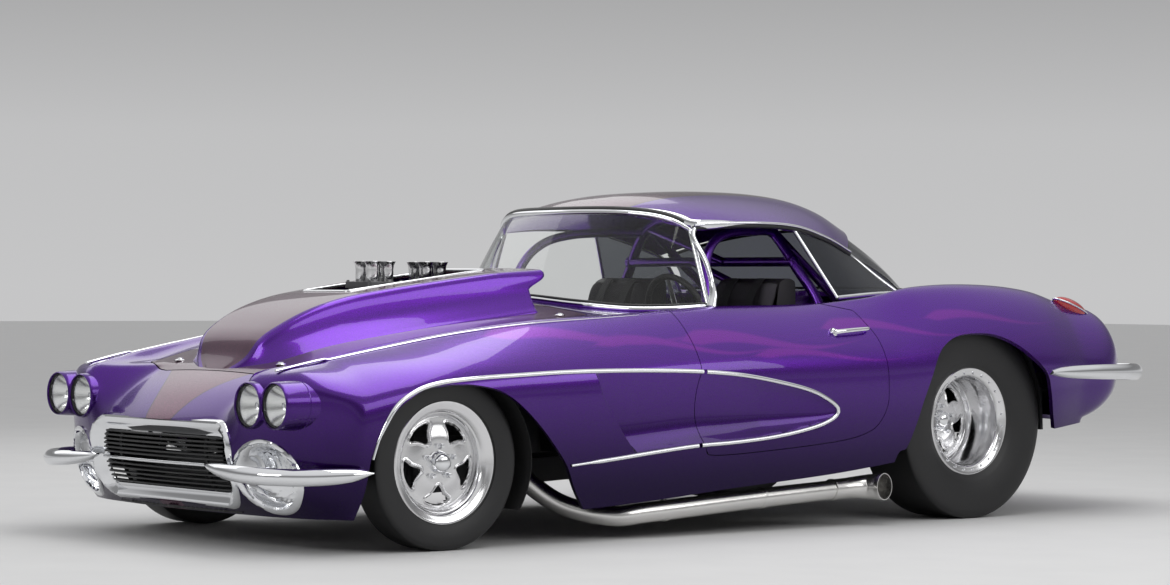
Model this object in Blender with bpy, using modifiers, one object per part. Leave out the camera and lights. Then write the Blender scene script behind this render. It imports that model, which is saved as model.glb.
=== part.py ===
"""Two-seat drag racing car with a removable hardtop, built piece by piece.

Metres, +Z up, the nose toward -Y and the driver's side at +X, standing on its
wheels at z = 0 with the origin under the middle of its length. Places along the
car are given as "aft", the distance behind the front axle.
"""
import math
from collections import namedtuple

import bmesh
import bpy
from mathutils import Matrix, Vector
from mathutils.bvhtree import BVHTree

# Driving dimensions of the whole car
WHEELBASE = 2.649
FRONT_REACH = 0.7278
REAR_REACH = 3.8180
FRONT_AXLE_Y = (FRONT_REACH - REAR_REACH) / 2
SEAT_GAP = 0.0003
SKIN = 0.020
PANEL_GAP = 0.006

# Wheels and tyres
FRONT_TYRE_RADIUS = 0.306
FRONT_TYRE_WIDTH = 0.142
FRONT_RIM_WIDTH = 0.118
FRONT_WHEEL_X = 0.7585
REAR_TYRE_RADIUS = 0.390
REAR_TYRE_WIDTH = 0.262
REAR_RIM_WIDTH = 0.206
REAR_WHEEL_X = 0.684
RIM_RADIUS = 0.209
RIM_WELL = 0.178
RIM_EDGE = 0.008
BEAD_RADIUS = 0.193
# Half of a wheel centre's window, as (radius, angle from its middle)
WINDOW_EDGE = ((0.092, 0.20), (0.160, 0.36))
TYRE_FACETS = 28
RIM_FACETS = 16
SPOKE_COUNT = 5
# A faceted tread stands on the middle of a facet
FRONT_AXLE_Z = FRONT_TYRE_RADIUS * math.cos(math.pi / TYRE_FACETS)
REAR_AXLE_Z = REAR_TYRE_RADIUS * math.cos(math.pi / TYRE_FACETS)

# Steering and doors
KINGPIN_X = 0.600
DOOR_FRONT = 1.103
DOOR_REAR = 2.066
DOOR_THICK = 0.055
DOOR_INNER = 0.715
HINGE_X = 0.908
HINGE_HEIGHTS = (0.365, 0.640)
HINGE_AFT = DOOR_FRONT + 0.002

# Hood, scoop and deck lid
HOOD_FRONT = -0.430
HOOD_REAR = 0.900
HOOD_HALF = 0.470
LID_FRONT = 2.800
LID_REAR = 3.560
LID_HALF = 0.430
LEDGE_THICK = 0.012

# Frame
RAIL_X = 0.360
RAIL_WIDTH = 0.060
RAIL_HEIGHT = 0.090
FLOOR_THICK = 0.016
CROSS_FRONT = -0.490
TUBE_RADIUS = 0.021

Section = namedtuple(
    "Section",
    "aft top_z valley_x valley_z crown_x crown_z wide_x wide_z low_x low_z edge_x edge_z",
)
BODY_SECTIONS = [
    Section(-0.40, 0.625, 0.480, 0.625, 0.640, 0.655, 0.862, 0.535, 0.872, 0.320, 0.838, 0.122),
    Section(-0.15, 0.715, 0.495, 0.685, 0.655, 0.700, 0.890, 0.585, 0.892, 0.345, 0.850, 0.120),
    Section(0.15, 0.768, 0.510, 0.735, 0.675, 0.748, 0.900, 0.605, 0.895, 0.360, 0.850, 0.118),
    Section(0.50, 0.815, 0.535, 0.775, 0.700, 0.785, 0.902, 0.615, 0.892, 0.365, 0.845, 0.118),
    Section(0.90, 0.860, 0.570, 0.805, 0.735, 0.806, 0.903, 0.625, 0.890, 0.375, 0.848, 0.138),
    Section(1.30, 0.870, 0.610, 0.835, 0.752, 0.830, 0.905, 0.635, 0.893, 0.390, 0.852, 0.170),
    Section(1.80, 0.875, 0.620, 0.850, 0.762, 0.838, 0.908, 0.645, 0.900, 0.410, 0.860, 0.206),
    Section(2.10, 0.890, 0.640, 0.876, 0.772, 0.858, 0.910, 0.650, 0.903, 0.430, 0.868, 0.238),
    Section(2.35, 0.902, 0.600, 0.894, 0.768, 0.908, 0.912, 0.660, 0.903, 0.455, 0.872, 0.272),
    Section(2.70, 0.902, 0.530, 0.885, 0.755, 0.926, 0.910, 0.660, 0.900, 0.485, 0.870, 0.312),
    Section(3.05, 0.878, 0.505, 0.862, 0.732, 0.905, 0.890, 0.650, 0.882, 0.505, 0.850, 0.346),
    Section(3.30, 0.838, 0.490, 0.822, 0.700, 0.852, 0.845, 0.640, 0.842, 0.520, 0.805, 0.370),
]
# Sides of a section between its control points: steps from point to point
SECTION_STEPS = (2, 1, 3, 2, 1)
BODY_STATIONS = (
    -0.40, -0.26, -0.08, 0.16, 0.50, 0.90, 1.30, 1.80, 2.05, 2.24, 2.44, 2.70, 2.94, 3.14, 3.30,
)
CLOSING_STEPS = (0.97, 0.91, 0.80, 0.60, 0.30)

# Nose and tail: how far a face stands behind its foremost (or ahead of its rearmost) point
NOSE_AFT = -0.690
TAIL_AFT = 3.750
NOSE_MIDDLE = ((0.12, 0.120), (0.17, 0.070), (0.25, 0.020), (0.35, 0.000), (0.42, 0.022), (0.46, 0.050),
               (0.50, 0.090), (0.535, 0.130), (0.575, 0.190), (0.61, 0.260), (0.64, 0.330))
NOSE_SIDE = ((0.12, 0.110), (0.20, 0.050), (0.30, 0.020), (0.42, 0.008), (0.50, 0.000), (0.57, 0.006),
             (0.60, 0.022), (0.624, 0.050), (0.638, 0.130), (0.655, 0.230))
TAIL_MIDDLE = ((0.37, 0.260), (0.40, 0.160), (0.50, 0.030), (0.62, 0.000), (0.70, 0.080), (0.75, 0.180),
               (0.80, 0.330), (0.84, 0.480))
TAIL_SIDE = ((0.37, 0.320), (0.40, 0.180), (0.447, 0.080), (0.511, 0.018), (0.62, 0.000), (0.712, 0.033),
             (0.804, 0.122), (0.857, 0.245), (0.90, 0.420))

LAMP_RADIUS = 0.0706
LAMP_PLACES = ((0.715, 0.509), (0.554, 0.506))
LAMP_FACE = -0.622
POD_RADIUS = 0.090
POD_FACE = -0.646

COLLECTION = "drag_racing_car"

PAINT = ("candy purple", (0.045, 0.006, 0.085, 1.0), 0.6, 0.22)
CHROME = ("chrome", (0.85, 0.85, 0.87, 1.0), 1.0, 0.06)
POLISHED = ("polished alloy", (0.75, 0.75, 0.77, 1.0), 1.0, 0.15)
BLACK = ("satin black", (0.02, 0.02, 0.022, 1.0), 0.0, 0.5)
RUBBER = ("tyre rubber", (0.02, 0.02, 0.02, 1.0), 0.0, 0.75)
STEEL = ("painted steel", (0.06, 0.06, 0.065, 1.0), 0.3, 0.5)
GLASS = ("window glass", (0.10, 0.12, 0.12, 1.0), 0.0, 0.05)
LENS = ("lamp lens", (0.70, 0.72, 0.74, 1.0), 0.0, 0.05)
RED_LENS = ("red lens", (0.45, 0.01, 0.01, 1.0), 0.0, 0.1)


def material(kind):
    name, colour, metallic, roughness = kind
    found = bpy.data.materials.get(name)
    if found:
        return found
    made = bpy.data.materials.new(name)
    made.use_nodes = True
    shader = made.node_tree.nodes["Principled BSDF"]
    shader.inputs["Base Color"].default_value = colour
    shader.inputs["Metallic"].default_value = metallic
    shader.inputs["Roughness"].default_value = roughness
    return made


def collection(name):
    found = bpy.data.collections.get(name)
    if not found:
        found = bpy.data.collections.new(name)
        bpy.context.scene.collection.children.link(found)
    return found


def place(x, aft, z):
    return Vector((x, FRONT_AXLE_Y + aft, z))


def object_from(name, verts, faces):
    mesh = bpy.data.meshes.new(name)
    mesh.from_pydata([tuple(v) for v in verts], [], faces)
    mesh.update()
    piece = bpy.data.objects.new(name, mesh)
    collection(COLLECTION).objects.link(piece)
    clean(piece)
    return piece


def clean(piece, merge=1e-5):
    """Weld a closed piece, cut its faces into triangles and turn them outward."""
    work = bmesh.new()
    work.from_mesh(piece.data)
    bmesh.ops.remove_doubles(work, verts=work.verts, dist=merge)
    bmesh.ops.recalc_face_normals(work, faces=work.faces)
    bmesh.ops.triangulate(work, faces=work.faces, quad_method="FIXED")
    if work.calc_volume(signed=True) < 0.0:
        bmesh.ops.reverse_faces(work, faces=work.faces)
    work.to_mesh(piece.data)
    work.free()


def baked(piece):
    """Replace a piece by the plain mesh that it evaluates to, placed in the world."""
    bpy.context.view_layer.update()
    depsgraph = bpy.context.evaluated_depsgraph_get()
    mesh = bpy.data.meshes.new_from_object(piece.evaluated_get(depsgraph))
    mesh.transform(piece.matrix_world)
    name = piece.name
    bpy.data.objects.remove(piece)
    made = bpy.data.objects.new(name, mesh)
    collection(COLLECTION).objects.link(made)
    return made


def finish(piece, name, kind, smooth_angle=35.0):
    piece.name = name
    piece.data.name = name
    piece.data.materials.clear()
    piece.data.materials.append(material(kind))
    piece.data.shade_smooth()
    piece.data.set_sharp_from_angle(angle=math.radians(smooth_angle))
    return piece


def on_axis(piece, point):
    """Put a moving piece's origin on its joint."""
    piece.data.transform(Matrix.Translation(-point))
    piece.location = point
    return piece


def combine(piece, others, operation):
    """Cut, join or intersect a piece with each of the others, which are used up."""
    for other in others:
        step = piece.modifiers.new(operation.lower(), "BOOLEAN")
        step.operation = operation
        step.solver = "EXACT"
        step.object = other
        piece = baked(piece)
        bpy.data.objects.remove(other)
        tidy(piece)
    return piece


def tidy(piece):
    """Weld what a cut leaves closer together than the model's tolerance."""
    work = bmesh.new()
    work.from_mesh(piece.data)
    bmesh.ops.remove_doubles(work, verts=work.verts, dist=2e-5)
    bmesh.ops.dissolve_degenerate(work, edges=work.edges, dist=1e-5)
    bmesh.ops.triangulate(work, faces=work.faces)
    work.to_mesh(piece.data)
    work.free()


def cut(piece, *others):
    return combine(piece, others, "DIFFERENCE")


def join(piece, *others):
    return combine(piece, others, "UNION")


def keep(piece, *others):
    return combine(piece, others, "INTERSECT")


def copy_of(piece):
    made = piece.copy()
    made.data = piece.data.copy()
    collection(COLLECTION).objects.link(made)
    return made


def mirrored(piece):
    """The same piece on the other side of the car."""
    made = copy_of(piece)
    made.data.transform(Matrix.Scale(-1.0, 4, (1, 0, 0)))
    made.data.flip_normals()
    return made


def pair(left, name, kind, origin=None):
    """A piece for the driver's side and its mirror image for the other, each with its own origin."""
    lighten(left)
    right = mirrored(left)
    for piece, side, mark in ((left, 1, "_left"), (right, -1, "_right")):
        finish(piece, name + mark, kind)
        if origin:
            on_axis(piece, place(side * origin[0], origin[1], origin[2]))


def lighten(piece):
    """Leave out edges that lie in flat ground, as far as the mesh stays closed."""
    for degrees in (0.03, 0.01):
        work = bmesh.new()
        work.from_mesh(piece.data)
        bmesh.ops.dissolve_limit(work, angle_limit=math.radians(degrees), verts=work.verts, edges=work.edges)
        bmesh.ops.dissolve_degenerate(work, edges=work.edges, dist=1e-5)
        bmesh.ops.triangulate(work, faces=work.faces)
        closed = all(len(edge.link_faces) == 2 for edge in work.edges)
        if closed:
            work.to_mesh(piece.data)
        work.free()
        if closed:
            return


def single(piece, name, kind):
    lighten(piece)
    finish(piece, name, kind)


def half_of(piece):
    """The part of a piece on the driver's side."""
    return keep(piece, box((0.0, -1.2, -0.3), (1.3, 4.4, 1.7)))


def whole_of(half):
    """A half and its mirror image, welded along the middle of the car."""
    lighten(half)
    work = bmesh.new()
    work.from_mesh(half.data)
    for vert in work.verts:
        if abs(vert.co.x) < 2e-5:
            vert.co.x = 0.0
    seam = [face for face in work.faces if all(vert.co.x == 0.0 for vert in face.verts)]
    bmesh.ops.delete(work, geom=seam, context="FACES")
    made = bmesh.ops.duplicate(work, geom=work.verts[:] + work.edges[:] + work.faces[:])["geom"]
    verts = [g for g in made if isinstance(g, bmesh.types.BMVert)]
    faces = [g for g in made if isinstance(g, bmesh.types.BMFace)]
    for vert in verts:
        vert.co.x = -vert.co.x
    bmesh.ops.reverse_faces(work, faces=faces)
    bmesh.ops.remove_doubles(work, verts=[v for v in work.verts if v.co.x == 0.0], dist=1e-6)
    work.to_mesh(half.data)
    work.free()
    return half


def box(low, high, name="block"):
    """A block between two corners given as (x, aft, z)."""
    a, b = place(*low), place(*high)
    bpy.ops.mesh.primitive_cube_add(size=1.0, location=(a + b) / 2)
    piece = bpy.context.object
    piece.name = name
    piece.scale = b - a
    return baked(piece)


def loft(rings, closed_ends=True):
    """A closed solid through rings with the same number of points."""
    count = len(rings[0])
    verts = [p for ring in rings for p in ring]
    faces = []
    for i in range(len(rings) - 1):
        for k in range(count):
            a, b = i * count + k, i * count + (k + 1) % count
            faces.append((a, b, b + count, a + count))
    if closed_ends:
        faces.append(tuple(range(count)))
        last = (len(rings) - 1) * count
        faces.append(tuple(last + k for k in range(count)))
    else:
        last = (len(rings) - 1) * count
        for k in range(count):
            faces.append((last + k, last + (k + 1) % count, (k + 1) % count, k))
    return object_from("loft", verts, faces)


def prism_x(outline, x_low, x_high):
    """An outline of (aft, z) points carried across the car."""
    return loft([[place(x, a, z) for a, z in outline] for x in (x_low, x_high)])


def prism_z(outline, z_low, z_high):
    """An outline of (x, aft) points carried upward."""
    return loft([[place(x, a, z) for x, a in outline] for z in (z_low, z_high)])


def prism_y(outline, aft_low, aft_high):
    """An outline of (x, z) points carried along the car."""
    return loft([[place(x, a, z) for x, z in outline] for a in (aft_low, aft_high)])


def turned(profile, steps, centre):
    """A closed profile of (radius, across) points turned about an axle along X."""
    area = sum(a[0] * b[1] - b[0] * a[1] for a, b in zip(profile, profile[1:] + profile[:1]))
    points = profile if area > 0 else profile[::-1]
    mesh = bpy.data.meshes.new("turned")
    count = len(points)
    mesh.from_pydata([(r, 0.0, h) for r, h in points], [(i, (i + 1) % count) for i in range(count)], [])
    piece = bpy.data.objects.new("turned", mesh)
    collection(COLLECTION).objects.link(piece)
    screw = piece.modifiers.new("turn", "SCREW")
    screw.axis = "Z"
    screw.angle = math.tau
    screw.steps = steps
    screw.render_steps = steps
    screw.use_merge_vertices = True
    screw.merge_threshold = 1e-5
    half_step = math.pi / steps
    across = Matrix.Rotation(math.pi / 2, 4, "Y") @ Matrix.Rotation(half_step, 4, "Z")
    piece.matrix_world = Matrix.Translation(centre) @ across
    piece = baked(piece)
    clean(piece)
    return piece


def smooth(points, per_span, cyclic=False):
    """Points read from a curve that passes through the given ones."""
    points = [Vector(p) for p in points]
    count = len(points)
    spans = count if cyclic else count - 1
    made = []
    for i in range(spans):
        if cyclic:
            p0, p1, p2, p3 = (points[(i + k) % count] for k in (-1, 0, 1, 2))
        else:
            p1, p2 = points[i], points[i + 1]
            p0 = points[i - 1] if i else 2 * p1 - p2
            p3 = points[i + 2] if i + 2 < count else 2 * p2 - p1
        for k in range(per_span):
            t = k / per_span
            made.append(0.5 * (2 * p1 + (p2 - p0) * t + (2 * p0 - 5 * p1 + 4 * p2 - p3) * t * t
                               + (3 * p1 - p0 - 3 * p2 + p3) * t ** 3))
    if not cyclic:
        made.append(points[-1])
    return made


def tube(points, radius, cyclic=False, resolution=1, extend=0.0):
    """A round bar along points, its caps welded, each end carried on by a small length."""
    if extend:
        first, last = points[0] - points[1], points[-1] - points[-2]
        points = [points[0] + first.normalized() * extend] + list(points[1:-1]) + [points[-1] + last.normalized() * extend]
    data = bpy.data.curves.new("tube", "CURVE")
    data.dimensions = "3D"
    data.bevel_depth = radius
    data.bevel_resolution = resolution
    data.render_resolution_u = 0
    data.use_fill_caps = not cyclic
    line = data.splines.new("POLY")
    line.points.add(len(points) - 1)
    for spot, p in zip(line.points, points):
        spot.co = (p[0], p[1], p[2], 1.0)
    line.use_cyclic_u = cyclic
    piece = bpy.data.objects.new("tube", data)
    collection(COLLECTION).objects.link(piece)
    piece = baked(piece)
    clean(piece)
    return piece


def between(table, value):
    """Straight reading of a table of (value, result) pairs."""
    if value <= table[0][0]:
        return table[0][1]
    for (a, ra), (b, rb) in zip(table, table[1:]):
        if value <= b:
            return ra + (rb - ra) * (value - a) / (b - a)
    return table[-1][1]


def blend(value, low, high):
    t = min(max((value - low) / (high - low), 0.0), 1.0)
    return t * t * (3 - 2 * t)


def section_at(aft):
    """The body's control points at a place, read smoothly from the table."""
    rows = BODY_SECTIONS
    i = max(k for k, row in enumerate(rows) if row.aft <= aft + 1e-9)
    i = min(i, len(rows) - 2)
    t = (aft - rows[i].aft) / (rows[i + 1].aft - rows[i].aft)

    def slope(k, column):
        a, b = max(k - 1, 0), min(k + 1, len(rows) - 1)
        return (rows[b][column] - rows[a][column]) / (rows[b].aft - rows[a].aft)

    width = rows[i + 1].aft - rows[i].aft
    values = [aft]
    for column in range(1, len(Section._fields)):
        p, q = rows[i][column], rows[i + 1][column]
        m, n = slope(i, column) * width, slope(i + 1, column) * width
        values.append(p * (2 * t ** 3 - 3 * t * t + 1) + m * (t ** 3 - 2 * t * t + t)
                      + q * (3 * t * t - 2 * t ** 3) + n * (t ** 3 - t * t))
    return Section(*values)


def half_outline(aft):
    """Half of a cross-section as (x, z), from the middle of its top to its lower edge."""
    s = section_at(aft)
    points = [(0.0, s.top_z), (s.valley_x, s.valley_z), (s.crown_x, s.crown_z),
              (s.wide_x, s.wide_z), (s.low_x, s.low_z), (s.edge_x, s.edge_z)]
    made = []
    for i in range(5):
        p1, p2 = points[i], points[i + 1]
        p0 = points[i - 1] if i else (-points[1][0], points[1][1])
        p3 = points[i + 2] if i < 4 else (2 * p2[0] - p1[0], 2 * p2[1] - p1[1])
        for k in range(SECTION_STEPS[i]):
            t = k / SECTION_STEPS[i]
            made.append(tuple(
                0.5 * (2 * b + (c - a) * t + (2 * a - 5 * b + 4 * c - d) * t * t
                       + (3 * b - a - 3 * c + d) * t ** 3)
                for a, b, c, d in zip(p0, p1, p2, p3)))
    made.append(points[-1])
    return made


def nose_at(x, z):
    x = abs(x)
    plan = 0.07 * (x / 0.63) ** 2 + 0.06 * (x / 0.80) ** 12
    side = blend(x, 0.35, 0.55)
    return NOSE_AFT + plan + between(NOSE_MIDDLE, z) * (1 - side) + between(NOSE_SIDE, z) * side


def tail_at(x, z):
    x = abs(x)
    plan = 0.10 * (x / 0.68) ** 5
    side = min(x / 0.70, 1.0) ** 2
    return TAIL_AFT - plan - between(TAIL_MIDDLE, z) * (1 - side) - between(TAIL_SIDE, z) * side


def body_rings():
    """Rings of (x, aft, z) from the nose's lower lip to the tail's."""
    def whole(half):
        return [(-x, z) for x, z in half[:0:-1]] + half

    first, last = BODY_STATIONS[0], BODY_STATIONS[-1]
    front, rear = whole(half_outline(first)), whole(half_outline(last))
    floor_front, floor_rear = front[0][1], rear[0][1]
    rings = []
    for share in reversed(CLOSING_STEPS):
        ring = []
        for x, z in front:
            px, pz = x * share, floor_front + (z - floor_front) * share
            ring.append((px, min(first - 0.012 * (1 - share), nose_at(px, pz)), pz))
        rings.append(ring)
    for aft in BODY_STATIONS:
        rings.append([(x, aft, z) for x, z in whole(half_outline(aft))])
    for share in CLOSING_STEPS:
        ring = []
        for x, z in rear:
            px, pz = x * share, floor_rear + (z - floor_rear) * share
            ring.append((px, max(last + 0.012 * (1 - share), tail_at(px, pz)), pz))
        rings.append(ring)
    return rings, floor_front, floor_rear


def body_skin(thickness):
    """The whole body as a shell that is open underneath."""
    rings, floor_front, floor_rear = body_rings()
    count = len(rings[0])
    work = bmesh.new()
    rows = [[work.verts.new(place(*p)) for p in ring] for ring in rings]
    nose = work.verts.new(place(0, nose_at(0, floor_front), floor_front))
    tail = work.verts.new(place(0, tail_at(0, floor_rear), floor_rear))
    for a, b in zip(rows, rows[1:]):
        for k in range(count - 1):
            work.faces.new((a[k], a[k + 1], b[k + 1], b[k]))
    for k in range(count - 1):
        work.faces.new((nose, rows[0][k + 1], rows[0][k]))
        work.faces.new((tail, rows[-1][k], rows[-1][k + 1]))
    work.normal_update()
    top = max(work.faces, key=lambda f: f.calc_center_median().z)
    if top.normal.z < 0:
        bmesh.ops.reverse_faces(work, faces=work.faces)
    mesh = bpy.data.meshes.new("skin")
    work.to_mesh(mesh)
    work.free()
    piece = bpy.data.objects.new("skin", mesh)
    collection(COLLECTION).objects.link(piece)
    wall = piece.modifiers.new("wall", "SOLIDIFY")
    wall.thickness = thickness
    wall.offset = -1.0
    wall.use_even_offset = False
    return baked(piece)


def skin_x(aft, z):
    """The outer skin's half-width at a height on its side."""
    half = half_outline(aft)
    lower = [p for p in half if p[0] > 0.6]
    for (xa, za), (xb, zb) in zip(lower, lower[1:]):
        if zb <= z <= za and za > zb:
            return xa + (xb - xa) * (za - z) / (za - zb)
    return lower[-1][0]


def skin_z(aft, x):
    """The outer skin's height over a place on its top."""
    half = half_outline(aft)
    for (xa, za), (xb, zb) in zip(half, half[1:]):
        if xa <= x <= xb:
            return za + (zb - za) * (x - xa) / (xb - xa)
    return half[0][1]


DOOR_OUTLINE = (
    (DOOR_FRONT, 1.00), (DOOR_FRONT, 0.690), (1.111, 0.503), (1.127, 0.393), (1.151, 0.330),
    (1.196, 0.299), (1.524, 0.312), (1.836, 0.337), (1.971, 0.365), (2.030, 0.402),
    (2.064, 0.467), (2.060, 0.544), (2.043, 0.711), (2.012, 0.784), (1.990, 0.830), (1.985, 1.00),
)
# The door's front edge as (z, aft)
DOOR_FRONT_LINE = tuple((z, aft) for aft, z in DOOR_OUTLINE[4::-1])
SHUT_SLOPE = 0.22


def door_prism(grow):
    """The door's outline carried inward, its rear shut face raked so that it clears on its swing."""
    middle_a = (DOOR_FRONT + DOOR_REAR) / 2
    rings = []
    for x in (1.00, DOOR_INNER - grow):
        ring = []
        for aft, z in DOOR_OUTLINE:
            rear = blend(aft, middle_a, DOOR_REAR - 0.08)
            shift = rear * SHUT_SLOPE * (x - 0.88)
            out_a = grow if aft > middle_a else -grow
            out_z = grow if z > 0.9 else (-grow if z < 0.40 else 0.0)
            ring.append(place(x, aft + shift + out_a, z + out_z))
        rings.append(ring)
    return loft(rings)


ARCH_FRONT = (
    (-0.420, 0.05), (-0.372, 0.20), (-0.356, 0.325), (-0.336, 0.375), (-0.313, 0.427), (-0.266, 0.491),
    (-0.201, 0.538), (-0.138, 0.565), (-0.070, 0.576), (0.0, 0.578), (0.067, 0.574), (0.151, 0.558),
    (0.211, 0.531), (0.279, 0.486), (0.365, 0.417), (0.435, 0.348), (0.497, 0.278), (0.540, 0.202),
    (0.594, 0.126), (0.640, 0.05),
)
ARCH_REAR = (
    (2.100, 0.10), (2.154, 0.272), (2.200, 0.299), (2.243, 0.413), (2.287, 0.549), (2.330, 0.643),
    (2.387, 0.696), (2.475, 0.732), (2.588, 0.742), (2.702, 0.734), (2.818, 0.694), (2.938, 0.614),
    (3.008, 0.540), (3.057, 0.420), (3.080, 0.370), (3.110, 0.30),
)
# Lines down the hollow in the body's side, front to rear, each of four (aft, z) points from its top
COVE_LINES = (
    ((0.600, 0.612), (0.635, 0.519), (0.691, 0.450), (0.753, 0.377)),
    ((0.750, 0.621), (0.770, 0.510), (0.790, 0.400), (0.824, 0.298)),
    ((1.110, 0.609), (1.110, 0.510), (1.112, 0.420), (1.114, 0.324)),
    ((1.359, 0.598), (1.370, 0.520), (1.385, 0.440), (1.412, 0.364)),
    ((1.563, 0.571), (1.580, 0.515), (1.600, 0.460), (1.617, 0.401)),
    ((1.720, 0.531), (1.720, 0.500), (1.720, 0.466), (1.721, 0.433)),
    ((1.805, 0.480), (1.808, 0.477), (1.808, 0.474), (1.805, 0.470)),
)
COVE_DEPTH = 0.012
# The front wheel's room as (x, radius): it draws in under the fender towards its mouth
WELL_PROFILE = ((0.600, 0.372), (0.800, 0.372), (0.882, 0.314))
WELL_FACETS = 24


def cove_cutter():
    """The hollow in the body's side, deepest at its front and dying away at its tip."""
    rings = []
    for line in COVE_LINES:
        inner = [place(skin_x(aft, z) - COVE_DEPTH, aft, z) for aft, z in line]
        outer = [place(skin_x(aft, z) + 0.08, aft, z) for aft, z in line]
        rings.append(inner + outer[::-1])
    return loft(rings)


def lamp_drums(low_aft, high_aft, radius):
    """A drum round each lamp's place."""
    profile = [(0.0, high_aft), (radius, high_aft), (radius, low_aft), (0.0, low_aft)]
    return [turned_y(profile, LAMP_STEPS, x, z) for x, z in LAMP_PLACES]


LAMP_STEPS = 16


def turned_y(profile, steps, x, z):
    """An open profile of (radius, aft) points, from the axis to the axis, turned along the car."""
    area = sum(a[0] * b[1] - b[0] * a[1] for a, b in zip(profile, profile[1:]))
    rings = []
    points = profile if area > 0 else profile[::-1]
    for radius, aft in points[1:-1]:
        rings.append([place(x + radius * math.cos(k * math.tau / steps), aft,
                            z + radius * math.sin(k * math.tau / steps)) for k in range(steps)])
    return loft(rings)


def oval(inset=0.0, steps=16):
    """The nostril's edge as (x, z), or a line a little inside it."""
    x, z, half_x, half_z = NOSTRIL
    return [(x + (half_x - inset) * math.cos(k * math.tau / steps),
             z + (half_z - inset) * math.sin(k * math.tau / steps)) for k in range(steps)]


NOSTRIL = (0.600, 0.262, 0.125, 0.115)
GRILLE_HALF = 0.415
GRILLE_LOW = 0.185
GRILLE_HIGH = 0.405


def grille_outline(grow, steps=3):
    """Rounded oblong of (x, z) points."""
    half, low, high, r = GRILLE_HALF + grow, GRILLE_LOW - grow, GRILLE_HIGH + grow, 0.055 + grow
    made = []
    for cx, cz, start in ((half - r, high - r, 0.0), (-half + r, high - r, 0.25),
                          (-half + r, low + r, 0.5), (half - r, low + r, 0.75)):
        for k in range(steps + 1):
            t = (start + 0.25 * k / steps) * math.tau
            made.append((cx + r * math.cos(t), cz + r * math.sin(t)))
    return made


def scoop_ring(aft, base_half, top_half, base_z, top_z, inset, bottom):
    """One section of the hood scoop, as points round from its lower right corner."""
    b, t, top = base_half - inset, top_half - inset, top_z - inset
    middle = base_z + 0.62 * (top - base_z)
    half = [(b + 0.0, bottom), (b, base_z), (t + 0.35 * (b - t), middle), (t, top - 0.018),
            (t - 0.03, top), (0.0, top + 0.006)]
    points = half + [(-x, z) for x, z in half[-2::-1]]
    return [place(x, aft, z) for x, z in points]


Scoop = namedtuple("Scoop", "aft base_half top_half base_z top_z")
SCOOP_SECTIONS = [
    Scoop(-0.385, 0.215, 0.165, 0.610, 0.655),
    Scoop(-0.350, 0.255, 0.200, 0.630, 0.720),
    Scoop(-0.290, 0.285, 0.225, 0.660, 0.768),
    Scoop(-0.175, 0.310, 0.245, 0.690, 0.826),
    Scoop(-0.035, 0.328, 0.258, 0.718, 0.870),
    Scoop(0.120, 0.338, 0.268, 0.745, 0.898),
    Scoop(0.400, 0.345, 0.282, 0.785, 0.937),
    Scoop(0.640, 0.350, 0.292, 0.815, 0.966),
    Scoop(0.760, 0.352, 0.298, 0.830, 0.979),
]
SCOOP_WALL = 0.012
SCOOP_OPENING = (0.145, 0.055, 0.690)


def scoop_solid(inset, bottom=None):
    """The scoop filled in, down to the hood's skin or to a given height."""
    rows = SCOOP_SECTIONS
    rings = []
    for i, s in enumerate(rows):
        aft = s.aft
        if inset:
            aft += inset if i == 0 else (-inset if i == len(rows) - 1 else 0.0)
        low = skin_z(s.aft, s.base_half) - SKIN * 0.7 if bottom is None else bottom
        rings.append(scoop_ring(aft, s.base_half, s.top_half, s.base_z, s.top_z, inset, low))
    return loft(rings)


def hood_outline(grow):
    return [(-HOOD_HALF - grow, HOOD_FRONT + 0.03 - grow), (-0.30, HOOD_FRONT - grow), (0.30, HOOD_FRONT - grow),
            (HOOD_HALF + grow, HOOD_FRONT + 0.03 - grow), (HOOD_HALF + 0.03 + grow, HOOD_REAR + grow),
            (-HOOD_HALF - 0.03 - grow, HOOD_REAR + grow)]


def height_under(piece, x, aft):
    """The height of a piece's underside over a place."""
    work = bmesh.new()
    work.from_mesh(piece.data)
    tree = BVHTree.FromBMesh(work)
    work.free()
    hit = tree.ray_cast(place(x, aft, 0.0) - piece.location, Vector((0, 0, 1)))[0]
    return hit.z + piece.location.z


def ledges(lid, edge_at, afts):
    """Shelves along a lid's side edge, their tops just under the lid, each with a foot in the body's skin."""
    parts = []
    for aft in afts:
        edge = edge_at(aft)
        low, high = aft - 0.006, aft + 0.006
        spots = [(edge - dx, a) for dx in (0.0005, 0.008, 0.016, 0.0295) for a in (low, aft, high)]
        top = min(height_under(lid, x, a) for x, a in spots) - SEAT_GAP
        parts.append(join(box((edge - 0.03, low, top - LEDGE_THICK), (edge + 0.03, high, top)),
                          box((edge + 0.010, low, top - LEDGE_THICK), (edge + 0.03, high, top + 0.010))))
    return parts


def hood_edge(aft):
    return HOOD_HALF + 0.03 * (aft - HOOD_FRONT - 0.03) / (HOOD_REAR - HOOD_FRONT - 0.03)


def lid_outline(grow):
    return [(-LID_HALF - grow, LID_FRONT - grow), (LID_HALF + grow, LID_FRONT - grow),
            (LID_HALF + grow, LID_REAR - 0.06), (LID_HALF - 0.06, LID_REAR + grow),
            (-LID_HALF + 0.06, LID_REAR + grow), (-LID_HALF - grow, LID_REAR - 0.06)]


COCKPIT_HALF = ((0.0, 0.985), (0.47, 1.08), (0.62, 1.22), (0.650, 1.365), (0.7125, 1.385), (0.7125, 1.970), (0.660, 2.10),
                (0.61, 2.28), (0.40, 2.46))
COCKPIT = COCKPIT_HALF + tuple((-x, aft) for x, aft in COCKPIT_HALF[:0:-1])


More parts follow.
